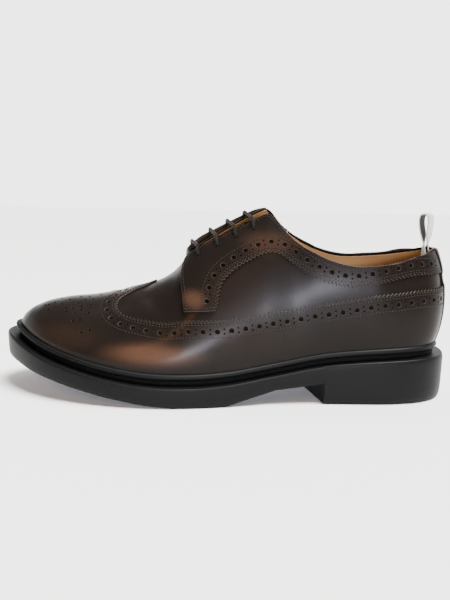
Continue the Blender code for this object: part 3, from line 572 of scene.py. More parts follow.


# strength of the brown patches, partly the leather's own colour and partly painted warm reflection
def brownAndReflectionAt(world):
    along = alongOf(world)
    total = np.zeros(len(world))
    for side, s, z, wide, tall, strength in brownAndReflection["spots"]:
        near = np.exp(-(((along - s) / wide) ** 2 + ((world[:, 2] - z) / tall) ** 2) ** 1.5)
        total = np.maximum(total, strength * near * softStep(-6, 6, world[:, 1] * side))
    return total


def leatherSheet(name, cuts, lift, thick, drop):
    # closed leather sheet: skin, back and cut edges, with a soft shoulder along each cut
    base, normal, tag, dark, faces = joinCuts(cuts)
    count = len(base)
    low = lift(base) if callable(lift) else np.full(count, float(lift))
    high = low + (thick(base) if callable(thick) else thick)
    skin = base + normal * (high - drop * (tag > 0))[:, None]
    under = base + normal * low[:, None]
    pairs = np.concatenate([faces[:, [0, 1]], faces[:, [1, 2]], faces[:, [2, 0]]])
    code = pairs[:, 0].astype(np.int64) * count + pairs[:, 1]
    rim = pairs[~np.isin(code, pairs[:, 1].astype(np.int64) * count + pairs[:, 0])]
    start, end = rim.T
    across = unit(np.cross(base[end] - base[start], normal[start]))
    outward = np.zeros((count, 3))
    np.add.at(outward, start, across)
    np.add.at(outward, end, across)
    outward = unit(outward)
    skinNormal = np.where((tag > 0)[:, None], unit(normal + outward), normal)
    walls = np.stack([end, start, start + count, end + count], -1)
    wallTop = unit(outward + 0.5 * normal)
    wallNormals = np.stack([wallTop[end], wallTop[start], outward[start], outward[end]], 1)
    sheetNormals = np.concatenate([skinNormal[faces], -normal[faces[:, ::-1]]])
    loops = np.concatenate([sheetNormals.reshape(-1, 3), wallNormals.reshape(-1, 3)])
    allFaces = [*faces, *(faces[:, ::-1] + count), *walls]
    # painted shade: pinhole rims dark, large hole rims a little, and fully dark on the shell where the
    # overlays cover it and on every back face
    paintedShade = np.maximum(np.where(tag >= pinTag, 0.8, 0.2 * (tag > 1)), dark)
    values = dict(brown=np.tile(brownAndReflectionAt(base), 2), paintedShade=np.concatenate([paintedShade, np.ones(count)]),
                  # cut edges and large hole rims, for a lighter colour that is partly raw edge and partly
                  # painted highlight
                  edge=np.concatenate([(tag > 0) & (tag < pinTag), np.zeros(count)]))
    return addMesh(name, np.concatenate([skin, under]), allFaces, loops, values)


def stitchMesh(name, rows):
    # every stitch of a seam as one small thread, joined in one mesh
    bpy.ops.mesh.primitive_uv_sphere_add(segments=6, ring_count=4, radius=1)
    ball = bpy.context.object
    shape = np.array([v.co[:] for v in ball.data.vertices])
    shape *= np.array([stitch["width"] / 2, stitch["width"] / 2.6, stitch["length"] / 2])
    shapeFaces = [tuple(p.vertices) for p in ball.data.polygons]
    bpy.data.objects.remove(ball, do_unlink=True)
    verts, faces, start = [], [], 0
    for side, xy, height in rows:
        line = spaced(side, xy, pitch=stitch["pitch"])
        place, normal = leatherFrame(side, line)
        run = unit(np.diff(place, axis=0))
        mid = (place[1:] + place[:-1]) / 2
        up = unit(normal[1:] + normal[:-1])
        lift = height(mid) if callable(height) else np.full(len(mid), height)
        mid = mid + up * (lift + stitch["proud"])[:, None]
        cross = unit(np.cross(up, run))
        up = np.cross(run, cross)
        for m, r, c, u in zip(mid, run, cross, up):
            verts.append(m + shape @ np.stack([c, u, r]))
            faces += [tuple(i + start for i in f) for f in shapeFaces]
            start += len(shape)
    return addMesh(name, np.concatenate(verts), faces)


def finishPiece(piece, material, slot, *nodes):
    piece.data.materials.clear()
    piece.data.materials.append(material)
    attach(piece, "root")
    if nodes:
        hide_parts(*nodes)
    print("made", piece.name, len(piece.data.polygons), "faces")


# Materials

def colour(text):
    # sRGB hex value to linear
    channels = [int(text[i:i + 2], 16) / 255 for i in (1, 3, 5)]
    return (*[c / 12.92 if c <= 0.04045 else ((c + 0.055) / 1.055) ** 2.4 for c in channels], 1)


def setInputs(tree, node, inputs):
    # each input is a value, a hex colour or the output of another node
    for socket, value in inputs.items():
        if isinstance(value, bpy.types.NodeSocket):
            tree.links.new(value, node.inputs[socket])
        else:
            node.inputs[socket].default_value = colour(value) if isinstance(value, str) else value


def addNode(tree, kind, inputs=None, **settings):
    made = tree.nodes.new(kind)
    for name, value in settings.items():
        setattr(made, name, value)
    setInputs(tree, made, inputs or {})
    return made


def maths(tree, operation, *inputs):
    return addNode(tree, "ShaderNodeMath", dict(enumerate(inputs)), operation=operation).outputs[0]


def mixed(tree, share, low, high):
    return addNode(tree, "ShaderNodeMix", {0: share, 6: low, 7: high}, data_type="RGBA").outputs[2]


def ranged(tree, value, low, high, start=0.0, end=1.0, **settings):
    # start to end becomes low to high
    inputs = {"Value": value, "From Min": start, "From Max": end, "To Min": low, "To Max": high}
    return addNode(tree, "ShaderNodeMapRange", inputs, **settings).outputs[0]


def attribute(tree, name):
    return addNode(tree, "ShaderNodeAttribute", attribute_name=name).outputs["Fac"]


def perMm(size):
    # texture scale, in turns per metre, of a pattern of that size in millimetres
    return 1000.0 / size


def noise(tree, where, size, detail=2.0):
    inputs = {"Vector": where, "Scale": perMm(size), "Detail": detail}
    return addNode(tree, "ShaderNodeTexNoise", inputs).outputs["Fac"]


def cells(tree, where, size, **settings):
    inputs = {"Vector": where, "Scale": perMm(size)}
    return addNode(tree, "ShaderNodeTexVoronoi", inputs, **settings).outputs["Distance"]


def stripes(tree, where, scale, axis):
    inputs = {"Vector": where, "Scale": scale, "Distortion": 0.0}
    return addNode(tree, "ShaderNodeTexWave", inputs, bands_direction=axis).outputs["Fac"]


def bumped(tree, height, strength, distance, **inputs):
    inputs.update(Height=height, Strength=strength, Distance=distance)
    return addNode(tree, "ShaderNodeBump", inputs).outputs[0]


def objectPlace(tree):
    return addNode(tree, "ShaderNodeTexCoord").outputs["Object"]


def lengthPlace(tree):
    return addNode(tree, "ShaderNodeUVMap", uv_map="length").outputs["UV"]


def newMaterial(name):
    material = bpy.data.materials.new(name)
    material.use_nodes = True
    return material, material.node_tree, material.node_tree.nodes["Principled BSDF"]


def calfLeather():
    # Polished calf: nearly black brown under clear wax, with brown patches that are partly its own colour and
    # partly a painted warm reflection.
    material, tree, shader = newMaterial("polished calf leather")
    where = objectPlace(tree)
    fine = noise(tree, where, 1.1, 4.0)
    # painted shade in holes, under the overlays and on back faces
    paintedShade = attribute(tree, "paintedShade")
    drift = maths(tree, "MULTIPLY", noise(tree, where, 28, 3.0), 0.05)
    # brown patches: partly the leather's own brown, partly a painted warm reflection
    tint = mixed(tree, maths(tree, "ADD", attribute(tree, "brown"), drift), "#100E0C", "#52392A")
    soft = mixed(tree, 0.25, tint, mixed(tree, fine, tint, "#0A0807"))
    # cut edges and large hole rims lighter: partly the raw edge's colour, partly a painted highlight standing
    # in for their glints
    rawEdgeAndHighlight = mixed(tree, attribute(tree, "edge"), soft, "#393129")
    relief = maths(tree, "MULTIPLY_ADD", cells(tree, where, 0.75, feature="SMOOTH_F1"), 0.5, fine)
    shine = ranged(tree, paintedShade, 0.05, 0.0)
    setInputs(tree, shader, {
        # near black without shine where the painted shade is
        "Base Color": mixed(tree, paintedShade, rawEdgeAndHighlight, "#17120F"),
        "Roughness": ranged(tree, fine, 0.27, 0.42),
        "Normal": bumped(tree, relief, 0.3, 0.00006),
        "Specular IOR Level": shine, "Coat Weight": shine, "Coat Roughness": 0.18})
    return material


def liningLeather():
    # Vegetable tanned lining: golden tan, matt, with open pores.
    material, tree, shader = newMaterial("tan lining leather")
    where = objectPlace(tree)
    setInputs(tree, shader, {
        "Base Color": mixed(tree, noise(tree, where, 18, 4.0), "#7F5C34", "#997342"),
        "Normal": bumped(tree, cells(tree, where, 0.9), 0.3, 0.0001),
        "Roughness": 0.62})
    return material


def mouldedRubber():
    # Moulded sole rubber: satin black with a very fine mould texture, and ribs across the underside.
    material, tree, shader = newMaterial("moulded black rubber")
    where = objectPlace(tree)
    grit = noise(tree, where, 0.8, 3.0)
    ribPitch = 0.004
    ribs = stripes(tree, where, 0.1 * math.pi / ribPitch, "X")
    tread = maths(tree, "MULTIPLY", ribs, attribute(tree, "tread"))
    setInputs(tree, shader, {
        "Base Color": mixed(tree, noise(tree, where, 40, 3.0), "#060707", "#0A0A0A"),
        "Roughness": ranged(tree, grit, 0.40, 0.56),
        "Normal": bumped(tree, tread, 0.8, 0.0008, Normal=bumped(tree, grit, 0.12, 0.00006)),
        "Specular IOR Level": 0.09})
    return material


def waxedCord():
    # Waxed round lace: braided dark cotton, with the braid's crossing strands just showing.
    material, tree, shader = newMaterial("waxed braided cord")
    parts = addNode(tree, "ShaderNodeSeparateXYZ", {0: lengthPlace(tree)}).outputs
    waves = []
    for turns in (4.0, -4.0):
        summed = maths(tree, "MULTIPLY_ADD", parts[1], 1.1, maths(tree, "MULTIPLY", parts[0], turns))
        waves.append(maths(tree, "SINE", maths(tree, "MULTIPLY", summed, 2 * math.pi)))
    level = ranged(tree, maths(tree, "MAXIMUM", *waves), 0.0, 1.0, -1.0, 1.0)
    setInputs(tree, shader, {
        "Base Color": mixed(tree, level, "#090807", "#1C1917"),
        "Normal": bumped(tree, level, 0.6, 0.0002),
        "Roughness": 0.6, "Specular IOR Level": 0.05})
    return material


def sewingThread():
    # Waxed polyester thread, dark brown with a slight shine.
    material, tree, shader = newMaterial("waxed sewing thread")
    setInputs(tree, shader, {
        "Base Color": mixed(tree, noise(tree, objectPlace(tree), 0.5), "#110E0C", "#302925"),
        "Roughness": 0.45, "Specular IOR Level": 0.1})
    return material


def ribbedTape():
    # Grosgrain: plain ribbed tape, ribs across its width.
    material, tree, shader = newMaterial("ribbed grosgrain tape")
    ribs = stripes(tree, lengthPlace(tree), 0.42, "Y")
    outer = mixed(tree, ribs, "#A8A093", "#CFC9BC")
    setInputs(tree, shader, {
        "Base Color": mixed(tree, attribute(tree, "inner"), outer, "#121214"),
        "Normal": bumped(tree, ribs, 0.7, 0.0002),
        "Roughness": 0.8})
    return material


calf, tan, rubber = calfLeather(), liningLeather(), mouldedRubber()
cordFinish, thread, tape = waxedCord(), sewingThread(), ribbedTape()

# Upper: vamp and quarters as one shell, with the eyelets punched through, and its lining.
upper = dict(thick=1.2, lining=0.9, skirt=0.14, pitch=2.2, bevel=0.3, drop=0.25, liningDrop=0.2,
             liningTrim=0.014, liningGap=0.05, shade=3.0)   # shade starts that far inside the overlays
eyelets = dict(places=((168.6, 172.6), (157, 161.4), (145.4, 150), (134, 138.8)), back=6.4, radius=1.7)


def eyeletPlace(side, along):
    # middle of an eyelet in the flat pattern, and the facing edge beside it
    t, top = topAt(side, along)
    share = np.linspace(0.3, 1, 400) * top
    line = np.stack([np.full(400, t), share], -1)
    p = onLast(side, flat(side, line))
    away = np.linalg.norm(p - p[-1], axis=1)
    b = np.interp(-eyelets["back"], -away, share)
    return flat(side, np.array([t, b])), flat(side, np.array([t, top]))


def eyeletHoles(side):
    column = 0 if side == lateral else 1
    return [(eyeletPlace(side, row[column])[0], eyelets["radius"], 18) for row in eyelets["places"]]


def upperOutline(side, trim=0.0):
    t = np.linspace(0, 1, 260)
    low = flat(side, np.stack([t, np.full(len(t), -upper["skirt"])], -1))
    ridge = flat(side, ridgeAt(side, np.linspace(last["toeTip"][0], last["throatEnd"] + 0.05, 60)))
    tTop = np.linspace(ridgeAt(side, last["throatEnd"])[0], 0, 900)
    topLine = flat(side, np.stack([tTop, np.interp(tTop, tGrid, halves[side]["top"]) - trim], -1))
    topLine = spaced(side, topLine, pitch=1.6)
    topLine[0] = ridge[-1]
    heel = np.stack([np.zeros(40), np.linspace(topLine[-1][1], low[0][1], 40)], -1)
    topLine[-1] = heel[0]
    return [(low, False), (ridge, False), (topLine, True), (heel, False)]


patternOutlines = {}   # flat outlines of the overlays, kept for the shade under them

# Wing: longwing overlay with its pinked edge, brogueing and stitch rows.
wing = dict(
    sideRows=((26, 75.4), (50, 72.9), (90, 66.2), (125, 59.9), (158, 55.2), (184, 53.4), (203, 53.2),
              (216, 54.6)),   # along, height
    frontRows=((222.6, 26.5), (223.4, 17.5), (217, 9.5), (208.5, 4)),   # along, off the ridge
    peak=199.6, heel=76.6, heelHalf=6.5, thick=1.3, lift=0.06, pitch=1.7, bevel=0.28, drop=0.28,
    tooth=2.7, toothDepth=1.5, rowHoles=7.6, holeStep=9.2, holeRadius=1.55, pinRadius=0.5, pinApart=1.45,
    linePitch=0.8, seams=(2.1, 3.5, 11.4))   # stitch rows, off the edge
stitch = dict(pitch=2.1, length=1.4, width=0.7, proud=0.2)


def backSection(side, z, half):
    # section and share of points at these heights, that far from the back seam
    z, half = np.broadcast_arrays(np.atleast_1d(np.asarray(z, float)), half)
    t = halve(lambda share: np.abs(lastPoint(side, share, riseTo(side, share, 2, z))[:, 1]) < half,
              np.zeros(len(z)), np.full(len(z), 0.25), 24)
    return np.stack([t, riseTo(side, t, 2, z)], -1)


def atHeights(side, rows):
    # section and share of places given by along and height
    table = np.array(rows, float)
    return findOnLast(side, table[:, 0], 2, table[:, 1])


def offRidge(side, rows):
    # section and share of places given by along and distance off the ridge
    table = np.array(rows, float)
    return findOnLast(side, table[:, 0], 1, rowValue(last["ridge"], 1, table[:, 0]) + side * table[:, 1])


def edgeLine(side, rows):
    return flat(side, lineThrough(np.concatenate(rows), np.linspace(0, 1, 1600)))


def wingEdge(side):
    start = backSection(side, wing["heel"], wing["heelHalf"])
    return edgeLine(side, [start, atHeights(side, wing["sideRows"]), offRidge(side, wing["frontRows"]),
                           ridgeAt(side, np.array([wing["peak"]]))])


def pinked(side, edge, sign):
    # zigzag cut: every other point steps in from the edge
    count = 2 * int(round(runLength(onLast(side, edge))[-1] / wing["tooth"]))
    line = spaced(side, edge, count=count)
    stepped = march(side, line, sideways(side, line, sign), wing["toothDepth"], 3)
    line[1:-1:2] = stepped[1:-1:2]
    return line


def holeRow(side, line, step, first):
    # brogue row along a line: a large hole, then a pair of pinholes one above the other
    length = runLength(onLast(side, line))[-1]
    perStep = 4   # points to a millimetre
    fine = spaced(side, line, count=max(int(length * perStep), 8))
    direction = sideways(side, fine, 1)
    holes = []
    for k in range(int((length - first) // (step / 2))):
        i = min(int(round((first + k * step / 2) * perStep)), len(fine) - 1)
        if k % 2 == 0:
            holes.append((fine[i], wing["holeRadius"], 16))
            continue
        for sign in (-1, 1):
            moved = march(side, fine[i:i + 1], sign * direction[i:i + 1], wing["pinApart"], 2)
            holes.append((moved[0], wing["pinRadius"], 8))
    return holes


# Toe medallion, charted one by one, the same on both sides of the ridge.
medallion = dict(
    crown=((276, 9.4), (273.3, 10.3), (269.7, 8.7), (267.2, 15.6), (264.1, 12.9), (260.2, 18), (259.2, 8),
           (258.9, 21.9), (255.2, 19.2), (252.9, 14.8), (249.6, 18.1), (248.8, 21.8), (248.2, 10.3),
           (243.5, 17.6), (242.7, 21.4), (243.1, 25.7), (242.7, 10.3), (266, 3), (252.5, 3.6), (246.4, 4.6),
           (238.4, 4)),   # along, off the ridge
    flank=((272.4, 53.3), (252.7, 53.4), (252.6, 49.3), (247.7, 50.1), (239.9, 45.1),
           (245.3, 43.5)),   # along, height
    radius=0.72)


def medallionHoles(side):
    places = [offRidge(side, medallion["crown"]), atHeights(side, medallion["flank"])]
    return [(xy, medallion["radius"], 10) for xy in flat(side, np.concatenate(places))]


wingEdges = {side: wingEdge(side) for side in sides}


def wingCut(side):
    edge = wingEdges[side]
    cutEdge = pinked(side, edge, 1)
    ridge = flat(side, ridgeAt(side, np.linspace(last["toeTip"][0], wing["peak"], 66)))
    cutEdge[-1] = ridge[-1]
    t0 = edge[0][0] / halves[side]["length"]
    low = flat(side, np.stack([np.linspace(t0, 1, 240), np.zeros(240)], -1))
    end = np.stack([np.full(30, edge[0][0]), np.linspace(cutEdge[0][1], low[0][1], 30)], -1)
    patternOutlines["wing", side] = np.concatenate([low, ridge, cutEdge[::-1], end])
    row = offsetLine(side, spaced(side, edge, pitch=wing["linePitch"]), 1, wing["rowHoles"])[::-1]
    holes = holeRow(side, row, wing["holeStep"], wing["holeStep"] / 2)
    return cutPattern(side, [(low, False), (ridge, False), (cutEdge[::-1], True), (end, True)],
                      holes + medallionHoles(side), wing["pitch"], wing["bevel"])


wingCuts = [wingCut(side) for side in sides]
wingPiece = leatherSheet("wing_leather", wingCuts, wing["lift"], wing["thick"], wing["drop"])
finishPiece(wingPiece, calf, "upper_leather", "wing")
wingRows = []
for side in sides:
    edge = spaced(side, wingEdges[side], pitch=wing["linePitch"])
    for distance in wing["seams"]:
        wingRows.append((side, offsetLine(side, edge, 1, distance), wing["lift"] + wing["thick"]))
finishPiece(stitchMesh("wing_stitching", wingRows), thread, "upper_leather")

# Facings: lace facing, tab and collar band in one piece each side.
facing = dict(
    collarRows=(22, 36, 52, 68, 87, 102, 114, 124, 133, 145, 158, 169, 176.6),   # along the top edge
    frontRows=((179.4, 82), (179.2, 71), (178, 59.2)),   # along, height of the tab's front edge
    lowRows=((24, 84.6), (38, 82.6), (54, 79), (70, 77), (86, 79.6), (100, 85.8), (111, 93), (119, 97.4),
             (127, 96.8), (139, 90.8), (149, 83.4), (154, 76.6), (155.6, 71), (156.2, 67.2), (156.6, 63.8),
             (158, 60.8)),   # along, height of the pinked edge
    heelTop=96.5, heelLow=85.4, pitch=1.5, drop=0.28, rowHoles=7.4, holeStep=8.9, firstHole=3.0,
    lift=0.06, under=0.5, underAlong=(150, 172), thick=1.3, tab=0.9, tabAlong=(125, 165),
    corner=1.2, cornerAlong=(128, 172), cornerHeight=(66, 88),
    seams=(2.1, 3.5, 11.0), laceSeam=2.0, frontSeam=1.8, sewnFrom=108.0)


def facingLines(side):
    start = backSection(side, facing["heelTop"], wing["heelHalf"])
    start[:, 1] = np.interp(start[:, 0], tGrid, halves[side]["top"])
    high = [start, topAt(side, np.array(facing["collarRows"], float)), atHeights(side, facing["frontRows"])]
    low = [backSection(side, facing["heelLow"], wing["heelHalf"]), atHeights(side, facing["lowRows"])]
    return edgeLine(side, high), edgeLine(side, low)


facingEdges = {side: facingLines(side) for side in sides}


def facingThick(world):
    along = alongOf(world)
    rise = facing["corner"] * softStep(*facing["cornerAlong"], along)
    rise *= softStep(*facing["cornerHeight"], world[:, 2])
    return facing["thick"] + facing["tab"] * softStep(*facing["tabAlong"], along) + rise


def facingLift(world):
    # the tab stands off the vamp a little
    return facing["lift"] + facing["under"] * softStep(*facing["underAlong"], alongOf(world))


def facingCut(side):
    high, low = facingEdges[side]
    cutLow = pinked(side, low, -1)
    topLine = spaced(side, high, pitch=1.3)
    bottom = np.linspace(topLine[-1], cutLow[-1], 16)
    end = np.linspace(cutLow[0], topLine[0], 10)
    patternOutlines["facing", side] = np.concatenate([topLine, bottom, cutLow[::-1], end])
    row = offsetLine(side, spaced(side, low, pitch=wing["linePitch"]), -1, facing["rowHoles"])[::-1]
    holes = holeRow(side, row, facing["holeStep"], facing["firstHole"])
    return cutPattern(side, [(topLine, True), (bottom, True), (cutLow[::-1], True), (end, True)],
                      holes + eyeletHoles(side), facing["pitch"], wing["bevel"])


def facingTop(world):
    return facingLift(world) + facingThick(world)


facingRows = []
for side, name in ((lateral, "facing_lateral"), (medial, "facing_medial")):
    piece = leatherSheet(name + "_leather", [facingCut(side)], facingLift, facingThick, facing["drop"])
    finishPiece(piece, calf, "upper_leather", name)
    high, low = [spaced(side, line, pitch=wing["linePitch"]) for line in facingEdges[side]]
    for distance in facing["seams"]:
        facingRows.append((side, offsetLine(side, low, -1, distance), facingTop))
    laced = high[lastPoint(side, *unflat(side, high))[:, 0] > facing["sewnFrom"]]
    facingRows.append((side, offsetLine(side, laced, 1, facing["laceSeam"]), facingTop))
    bottom = np.linspace(high[-1], low[-1], 40)
    facingRows.append((side, offsetLine(side, bottom, 1, facing["frontSeam"]), facingTop))
finishPiece(stitchMesh("facing_stitching", facingRows), thread, "upper_leather")


# The shell under the overlays, and its lining.
def upperCut(side, trim=0.0):
    return cutPattern(side, upperOutline(side, trim), eyeletHoles(side), upper["pitch"], upper["bevel"])


upperCuts = [upperCut(side) for side in sides]
# painted shade on the shell where the overlays cover it, seen through their holes and at their edges
for cut in upperCuts:
    covered = np.zeros(len(cut["xy"]), bool)
    for name in ("wing", "facing"):
        outline = patternOutlines[name, cut["side"]]
        covered |= insidePolygon(cut["xy"], outline) & farFrom(cut["xy"], outline, upper["shade"])
    cut["dark"] = covered.astype(float)
shell = leatherSheet("upper_leather", upperCuts, -upper["thick"], upper["thick"], upper["drop"])
finishPiece(shell, calf, "upper_leather", "upper")
liningCuts = [upperCut(side, upper["liningTrim"]) for side in sides]
liningLow = -upper["thick"] - upper["liningGap"] - upper["lining"]
liningPiece = leatherSheet("lining", liningCuts, liningLow, upper["lining"], upper["liningDrop"])
finishPiece(liningPiece, tan, "sock_leather")


def gridFaces(columns, rows):
    return [(i * rows + j, (i + 1) * rows + j, (i + 1) * rows + j + 1, i * rows + j + 1)
            for i in range(columns - 1) for j in range(rows - 1)]


def ringFaces(count, size, joined=False):
    # faces between closed rings that follow each other; joined leads back to the first ring
    faces = []
    for i in range(count if joined else count - 1):
        n = (i + 1) % count
        for j in range(size):
            k = (j + 1) % size
            faces.append((i * size + j, n * size + j, n * size + k, i * size + k))
    return faces


def endFaces(count, size):
    return [tuple(range(size)), tuple(range((count - 1) * size, count * size))[::-1]]


def choose(piece):
    bpy.ops.object.select_all(action="DESELECT")
    bpy.context.view_layer.objects.active = piece
    piece.select_set(True)


def gridSheet(name, place, normal, low, high, soften=0.0, values=None):
    # closed sheet over a grid of points, with its rim drawn in a little
    columns, rows = place.shape[:2]
    rim = np.zeros((columns, rows))
    rim[[0, -1], :] = 1
    rim[:, [0, -1]] = 1
    skin = place + normal * (high - soften * rim)[..., None]
    under = place + normal * np.broadcast_to(low, (columns, rows))[..., None]
    verts = np.concatenate([skin.reshape(-1, 3), under.reshape(-1, 3)])
    count = columns * rows
    front = gridFaces(columns, rows)
    edge = ([i * rows for i in range(columns)] + [(columns - 1) * rows + j for j in range(1, rows)]
            + [i * rows + rows - 1 for i in range(columns - 2, -1, -1)] + list(range(rows - 2, 0, -1)))
    corner = verts[list(front[len(front) // 2])]
    if np.cross(corner[1] - corner[0], corner[2] - corner[0]) @ normal[columns // 2, rows // 2] < 0:
        front = [f[::-1] for f in front]
        edge = edge[::-1]
    faces = front + [tuple(i + count for i in reversed(f)) for f in front]
    for a, b in zip(edge, edge[1:] + edge[:1]):
        faces.append((b, a, a + count, b + count))
    piece = addMesh(name, verts, faces, values=values)
    choose(piece)
    bpy.ops.object.shade_smooth_by_angle(angle=math.radians(55))
    return piece


# Heel strip over the back seam.
strip = dict(half=8.5, top=100.4, lift=1.35, thick=0.85, sunk=1.3, tuck=1.5, drop=0.35, dip=0.8,
             columns=25, rows=70)


def heelStrip():
    columns, rows = strip["columns"], strip["rows"]
    across = np.linspace(-1, 1, columns)
    foot = soleTop(np.array([float(last["heelBack"][0])]))[0] + last["bead"]
    heights = np.linspace(foot - strip["tuck"], strip["top"], rows)
    place, normal = np.zeros((columns, rows, 3)), np.zeros((columns, rows, 3))
    for side in sides:
        own = np.where(across < 0)[0] if side == lateral else np.where(across >= 0)[0]
        half, z = np.meshgrid(np.abs(across[own]) * strip["half"], np.maximum(heights, foot), indexing="ij")
        tb = backSection(side, z.ravel(), half.ravel())
        tb[:, 1] = np.minimum(tb[:, 1], np.interp(tb[:, 0], tGrid, halves[side]["top"]))
        p, n = leatherFrame(side, flat(side, tb))
        place[own] = p.reshape(len(own), rows, 3)
        normal[own] = n.reshape(len(own), rows, 3)
    place[:, :, 2] += np.minimum(heights - foot, 0)
    plain = np.zeros(2 * columns * rows)
    gap = softStep(wing["heel"] - 1, wing["heel"] + 3, heights)
    gap *= 1 - softStep(facing["heelLow"] - 3, facing["heelLow"] + 1, heights)
    top = np.broadcast_to(strip["lift"] + strip["thick"] - strip["dip"] * gap, (columns, rows))
    return gridSheet("heel_strip_leather", place, normal, strip["lift"] - strip["sunk"], top, strip["drop"],
                     dict(brown=plain, paintedShade=plain))


finishPiece(heelStrip(), calf, "upper_leather", "heel_strip")

# Tongue: leather face and lining, sinking away from the facings towards its tip.
tongue = dict(
    rows=((112.5, 21, 19.5), (120, 24, 13.5), (130, 25, 7.5), (144, 25, 3), (158, 24, 1.6), (172, 22.5, 1.1),
          (184, 21, 0.9), (194, 19, 0.9), (206, 15, 0.9)),   # along, half width, sink
    under=2.7, square=4.3, free=144.0, thick=1.4, lining=1.1, liningGap=0.02, drop=0.3, columns=60, across=27)


def tongueGrid():
    along = np.linspace(tongue["rows"][0][0], tongue["rows"][-1][0], tongue["columns"])
    share = np.sin(np.linspace(-1, 1, tongue["across"]) * math.pi / 2) * 0.35
    share += 0.65 * np.linspace(-1, 1, tongue["across"])
    s, u = np.meshgrid(along, share, indexing="ij")
    half = rowValue(tongue["rows"], 1, s)
    held = np.maximum(s, tongue["free"])   # behind this the tongue no longer follows the facings
    y = rowValue(last["ridge"], 1, held) + u * rowValue(tongue["rows"], 1, held)
    drop = np.zeros(s.shape)
    for side in sides:
        own = u * side > 0.001
        tb = findOnLast(side, held[own], 1, y[own])
        drop[own] = rowValue(last["ridge"], 2, held[own]) - lastPoint(side, tb[:, 0], tb[:, 1])[:, 2]
    ridgeY, ridgeZ = rowValue(last["ridge"], 1, s), rowValue(last["ridge"], 2, s)
    base = toWorld(np.stack([s, ridgeY + u * half, ridgeZ - drop], -1))
    normal = np.cross(np.gradient(base, axis=1), np.gradient(base, axis=0))
    normal = unit(normal * np.sign(normal[..., 2:3]))
    depth = tongue["under"] + rowValue(tongue["rows"], 2, s)
    base -= normal * np.minimum(depth, tongue["square"])[..., None]
    base[..., 2] -= np.maximum(depth - tongue["square"], 0)
    return base, normal


tonguePlace, tongueNormal = tongueGrid()
plain = np.zeros(2 * tonguePlace.shape[0] * tonguePlace.shape[1])
tongueFace = gridSheet("tongue_leather", tonguePlace, tongueNormal, -tongue["thick"], 0.0, tongue["drop"],
                       dict(brown=plain, paintedShade=plain))
finishPiece(tongueFace, calf, "upper_leather", "tongue")
tongueBack = gridSheet("tongue_lining", tonguePlace, tongueNormal, -tongue["thick"] - tongue["lining"],
                       -tongue["thick"] - tongue["liningGap"])
finishPiece(tongueBack, tan, "sock_leather")

# Insole: leather sock on the outsole.
insole = dict(lift=0.5, thick=3.2, clear=2.7, drop=0.4, ends=(0.012, 0.988), columns=90, across=15)


def insoleGrid():
    t = np.linspace(*insole["ends"], insole["columns"])
    ends = [footAt(side, t) - footNormal(side, t) * insole["clear"] for side in sides]
    share = np.linspace(0, 1, insole["across"])[None, :, None]
    flatPlace = ends[0][:, None] * (1 - share) + ends[1][:, None] * share
    return toWorld(np.concatenate([flatPlace, soleTop(flatPlace[..., :1])], -1))


insolePlace = insoleGrid()
insoleUp = np.zeros(insolePlace.shape)
insoleUp[..., 2] = 1
sock = gridSheet("insole_leather", insolePlace, insoleUp, insole["lift"], insole["lift"] + insole["thick"],
                 insole["drop"])
finishPiece(sock, tan, "sock_leather", "insole")

# Outsole: moulded unit with the heel on it, arch, toe spring and the ledge round its top.
sole = dict(
    lines=((86, 101, 40), (90, 105, 8), (151, 197, 70), (185, 210, 16),
           (305, 305, 60)),   # lateral, medial, lines
    arch={lateral: ((90, 13), (119, 9.6), (136, 4.6), (151, 0)),
          medial: ((105, 14), (125, 13.4), (142, 11.4), (160, 7.8), (180, 3.2), (197, 0))},
    spring={lateral: ((185, 0), (205, 2.1), (226, 5.6), (254, 11.2), (272, 15.2), (290, 19.8), (294.5, 20.8)),
            medial: ((210, 0), (226, 2), (254, 7.8), (272, 12.6), (290, 18.8), (294.5, 20.8))},
    wall=((1.1, 1.0), (0.55, 0.985), (0.2, 0.955), (0.05, 0.91), (0, 0.86), (0.12, 0.6), (0.3, 0.3),
          (0.55, 0.15), (1.1, 0.06), (1.8, 0.015), (2.8, 0.0)),   # inset, share of the height
    across=13)


def soleStations():
    # places on the two sides that each line across the sole joins
    pairs, before = [], np.zeros(2)
    for number, (s0, s1, lines) in enumerate(sole["lines"]):
        ends = np.array([1.0 if s >= last["length"] else float(footShare(side, s))
                         for side, s in zip(sides, (s0, s1))])
        share = np.arange(lines) / lines
        if number == 0:
            share = share ** 1.5
        elif number == len(sole["lines"]) - 1:
            share = 1 - (1 - share) ** 1.5
        pairs.append(before + (ends - before) * share[:, None])
        before = ends
    return np.concatenate(pairs + [np.ones((1, 2))])


def soleBottom(side, along, line):
    arch, spring = np.array(sole["arch"][side], float), np.array(sole["spring"][side], float)
    low = np.where(along <= arch[-1, 0], np.interp(along, arch[:, 0], arch[:, 1]),
                   np.interp(along, spring[:, 0], spring[:, 1], left=0))
    return np.where(line <= sole["lines"][0][2], 0, low)


